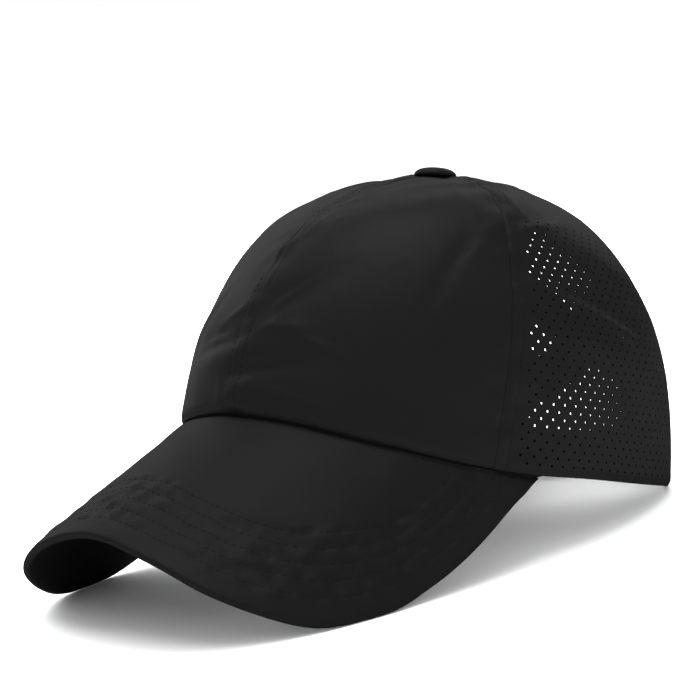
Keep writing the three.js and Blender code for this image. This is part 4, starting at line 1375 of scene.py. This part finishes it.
lines = []
free_end = tab_offset + half_overlap
outer_path = tab_path(-tab_edge - sewn_angle, free_end, lambda offset: sewn_depth + 0 * offset)
inner_path = tab_path(tab_edge + sewn_angle, tab_offset - half_overlap, inner_depth)
for label, (centre, facing) in (("outer", outer_path), ("inner", inner_path)):
    tab = strap_piece("closure_tape_" + label, centre, facing, TAB_WIDTH, TAB_THICKNESS, STRAP,
                      end_round=TAB_CORNERS[label])
    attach(tab, "root")
    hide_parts("closure_tab_" + label)
    lines += edge_lines(centre, facing, TAB_WIDTH, TAB_THICKNESS / 2, margin=TAB_ROW_MARGIN)
make_stitches("closure_stitches", lines, slot="closure_tape", **STRAP_STITCH)

# %% The hook tape that shows past the outer tab's free end
HOOK_WIDTH = 0.011
HOOK_THICKNESS = 0.0004
HOOK_STAND = 0.0001
HOOK_UNDER_TAB, HOOK_PAST_TAB = 14, 9


def hook_depth(offset):
    """The hook tape lies on the inner tab."""
    return inner_depth(offset) - TAB_THICKNESS / 2 - HOOK_STAND


hook_ends = (free_end - HOOK_UNDER_TAB, free_end + HOOK_PAST_TAB)
hook_centre, hook_facing = tab_path(*hook_ends, hook_depth, samples=40)
hook = strap_piece("hook_tape", hook_centre, hook_facing, HOOK_WIDTH, HOOK_THICKNESS, TAPE)
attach(hook, "root")
print(hook.name, len(hook.data.polygons), "faces")

# %% [markdown]
# ## Floor, light and camera
# The picture has a white ground and broad soft light from above. Black cloth shows its form mostly by what
# it reflects, so two softboxes stand at the picture's left and behind the cap, where their gloss runs along
# its outline and its folds. The camera was found by fitting the cap's outline: it looks at the cap from its
# left front, a little above the floor, through a long lens.

# %% Floor
FLOOR_SIZE = 80.0
PALE, PALE_ROUGHNESS = (0.92, 0.92, 0.925, 1), 0.8
bpy.ops.mesh.primitive_plane_add(size=FLOOR_SIZE, location=(0, 0, 0))
floor = bpy.context.object
floor.name = "pale_floor"
pale = SurfaceShader("pale_ground")
ground = pale.add("ShaderNodeBsdfPrincipled", {}, {"Base Color": PALE, "Roughness": PALE_ROUGHNESS})
floor.data.materials.append(pale.finish(ground))

# %% Lights and world
LIGHT_TARGET = Vector((0, 0, 0.06))
SUN_POWER, SUN_SPREAD = 2.4, 50
SUN_HEADING = Vector((0.16, -0.04, -1))


def place_light(light, heading, place=(0, 0, 0)):
    """Puts a light in the scene, shining along a heading."""
    lamp = bpy.data.objects.new(light.name, light)
    lamp.matrix_world = Matrix.Translation(place) @ heading.to_track_quat("-Z", "Y").to_matrix().to_4x4()
    bpy.context.scene.collection.objects.link(lamp)
    print(light.name, "power", round(light.energy, 1))


def softbox(name, place, size, power):
    """A square area light that points at the cap."""
    light = bpy.data.lights.new(name, "AREA")
    light.size = size
    light.energy = power
    place_light(light, LIGHT_TARGET - Vector(place), place)


softbox("left_softbox", (-1.16, 0.38, 0.4), size=1.0, power=32)
softbox("rear_softbox", (-0.55, 1.02, 0.55), size=0.8, power=17)
sun = bpy.data.lights.new("broad_overhead", "SUN")
sun.energy = SUN_POWER
sun.angle = math.radians(SUN_SPREAD)
place_light(sun, SUN_HEADING)
world = bpy.data.worlds.new("white_studio")
world.use_nodes = True
world.node_tree.nodes["Background"].inputs["Color"].default_value = (1, 1, 1, 1)
world.node_tree.nodes["Background"].inputs["Strength"].default_value = 1.0
bpy.context.scene.world = world
bpy.context.scene.view_settings.view_transform = "Standard"

# %% Camera
PICTURE = 700
FOCAL_PIXELS = 2656.6
EYE_AZIMUTH, EYE_ELEVATION, EYE_ROLL = 49.383, -2.872, 3.029
EYE_DISTANCE = 0.95975
AIM_HEIGHT = 0.05
OFF_CENTRE = (73.11, -15.59)
SENSOR_WIDTH = 36
NEAREST_SIGHT = 0.05


def eye_frame():
    """The camera's right, up and back directions in the rim frame."""
    a, e, r = map(math.radians, (EYE_AZIMUTH, EYE_ELEVATION, EYE_ROLL))
    back = np.array([math.sin(a) * math.cos(e), -math.cos(a) * math.cos(e), math.sin(e)])
    right = np.array([math.cos(a), math.sin(a), 0.0])
    up = np.cross(back, right)
    return right * math.cos(r) + up * math.sin(r), up * math.cos(r) - right * math.sin(r), back


right, up, back = eye_frame()
eye = stand(np.array([0, 0, AIM_HEIGHT]) + back * EYE_DISTANCE)
back = back + right * OFF_CENTRE[0] / FOCAL_PIXELS - up * OFF_CENTRE[1] / FOCAL_PIXELS
back /= np.linalg.norm(back)
right = right - back * (right @ back)
right /= np.linalg.norm(right)
axes = lean(np.stack([right, np.cross(back, right), back]))
lens = bpy.data.cameras.new("portrait_lens")
lens.sensor_width = SENSOR_WIDTH
lens.lens = FOCAL_PIXELS / PICTURE * SENSOR_WIDTH
lens.clip_start = NEAREST_SIGHT
camera = bpy.data.objects.new("camera", lens)
turned = Matrix(axes.T.tolist()).to_4x4()
camera.matrix_world = Matrix.Translation(Vector(eye)) @ turned
bpy.context.scene.collection.objects.link(camera)
bpy.context.scene.camera = camera
elevation = math.degrees(math.asin(axes[2][2]))
print("camera", round(lens.lens, 1), "mm lens,", round(elevation, 1), "degrees above the floor,",
      round(1000 * float(eye[2])), "mm up")
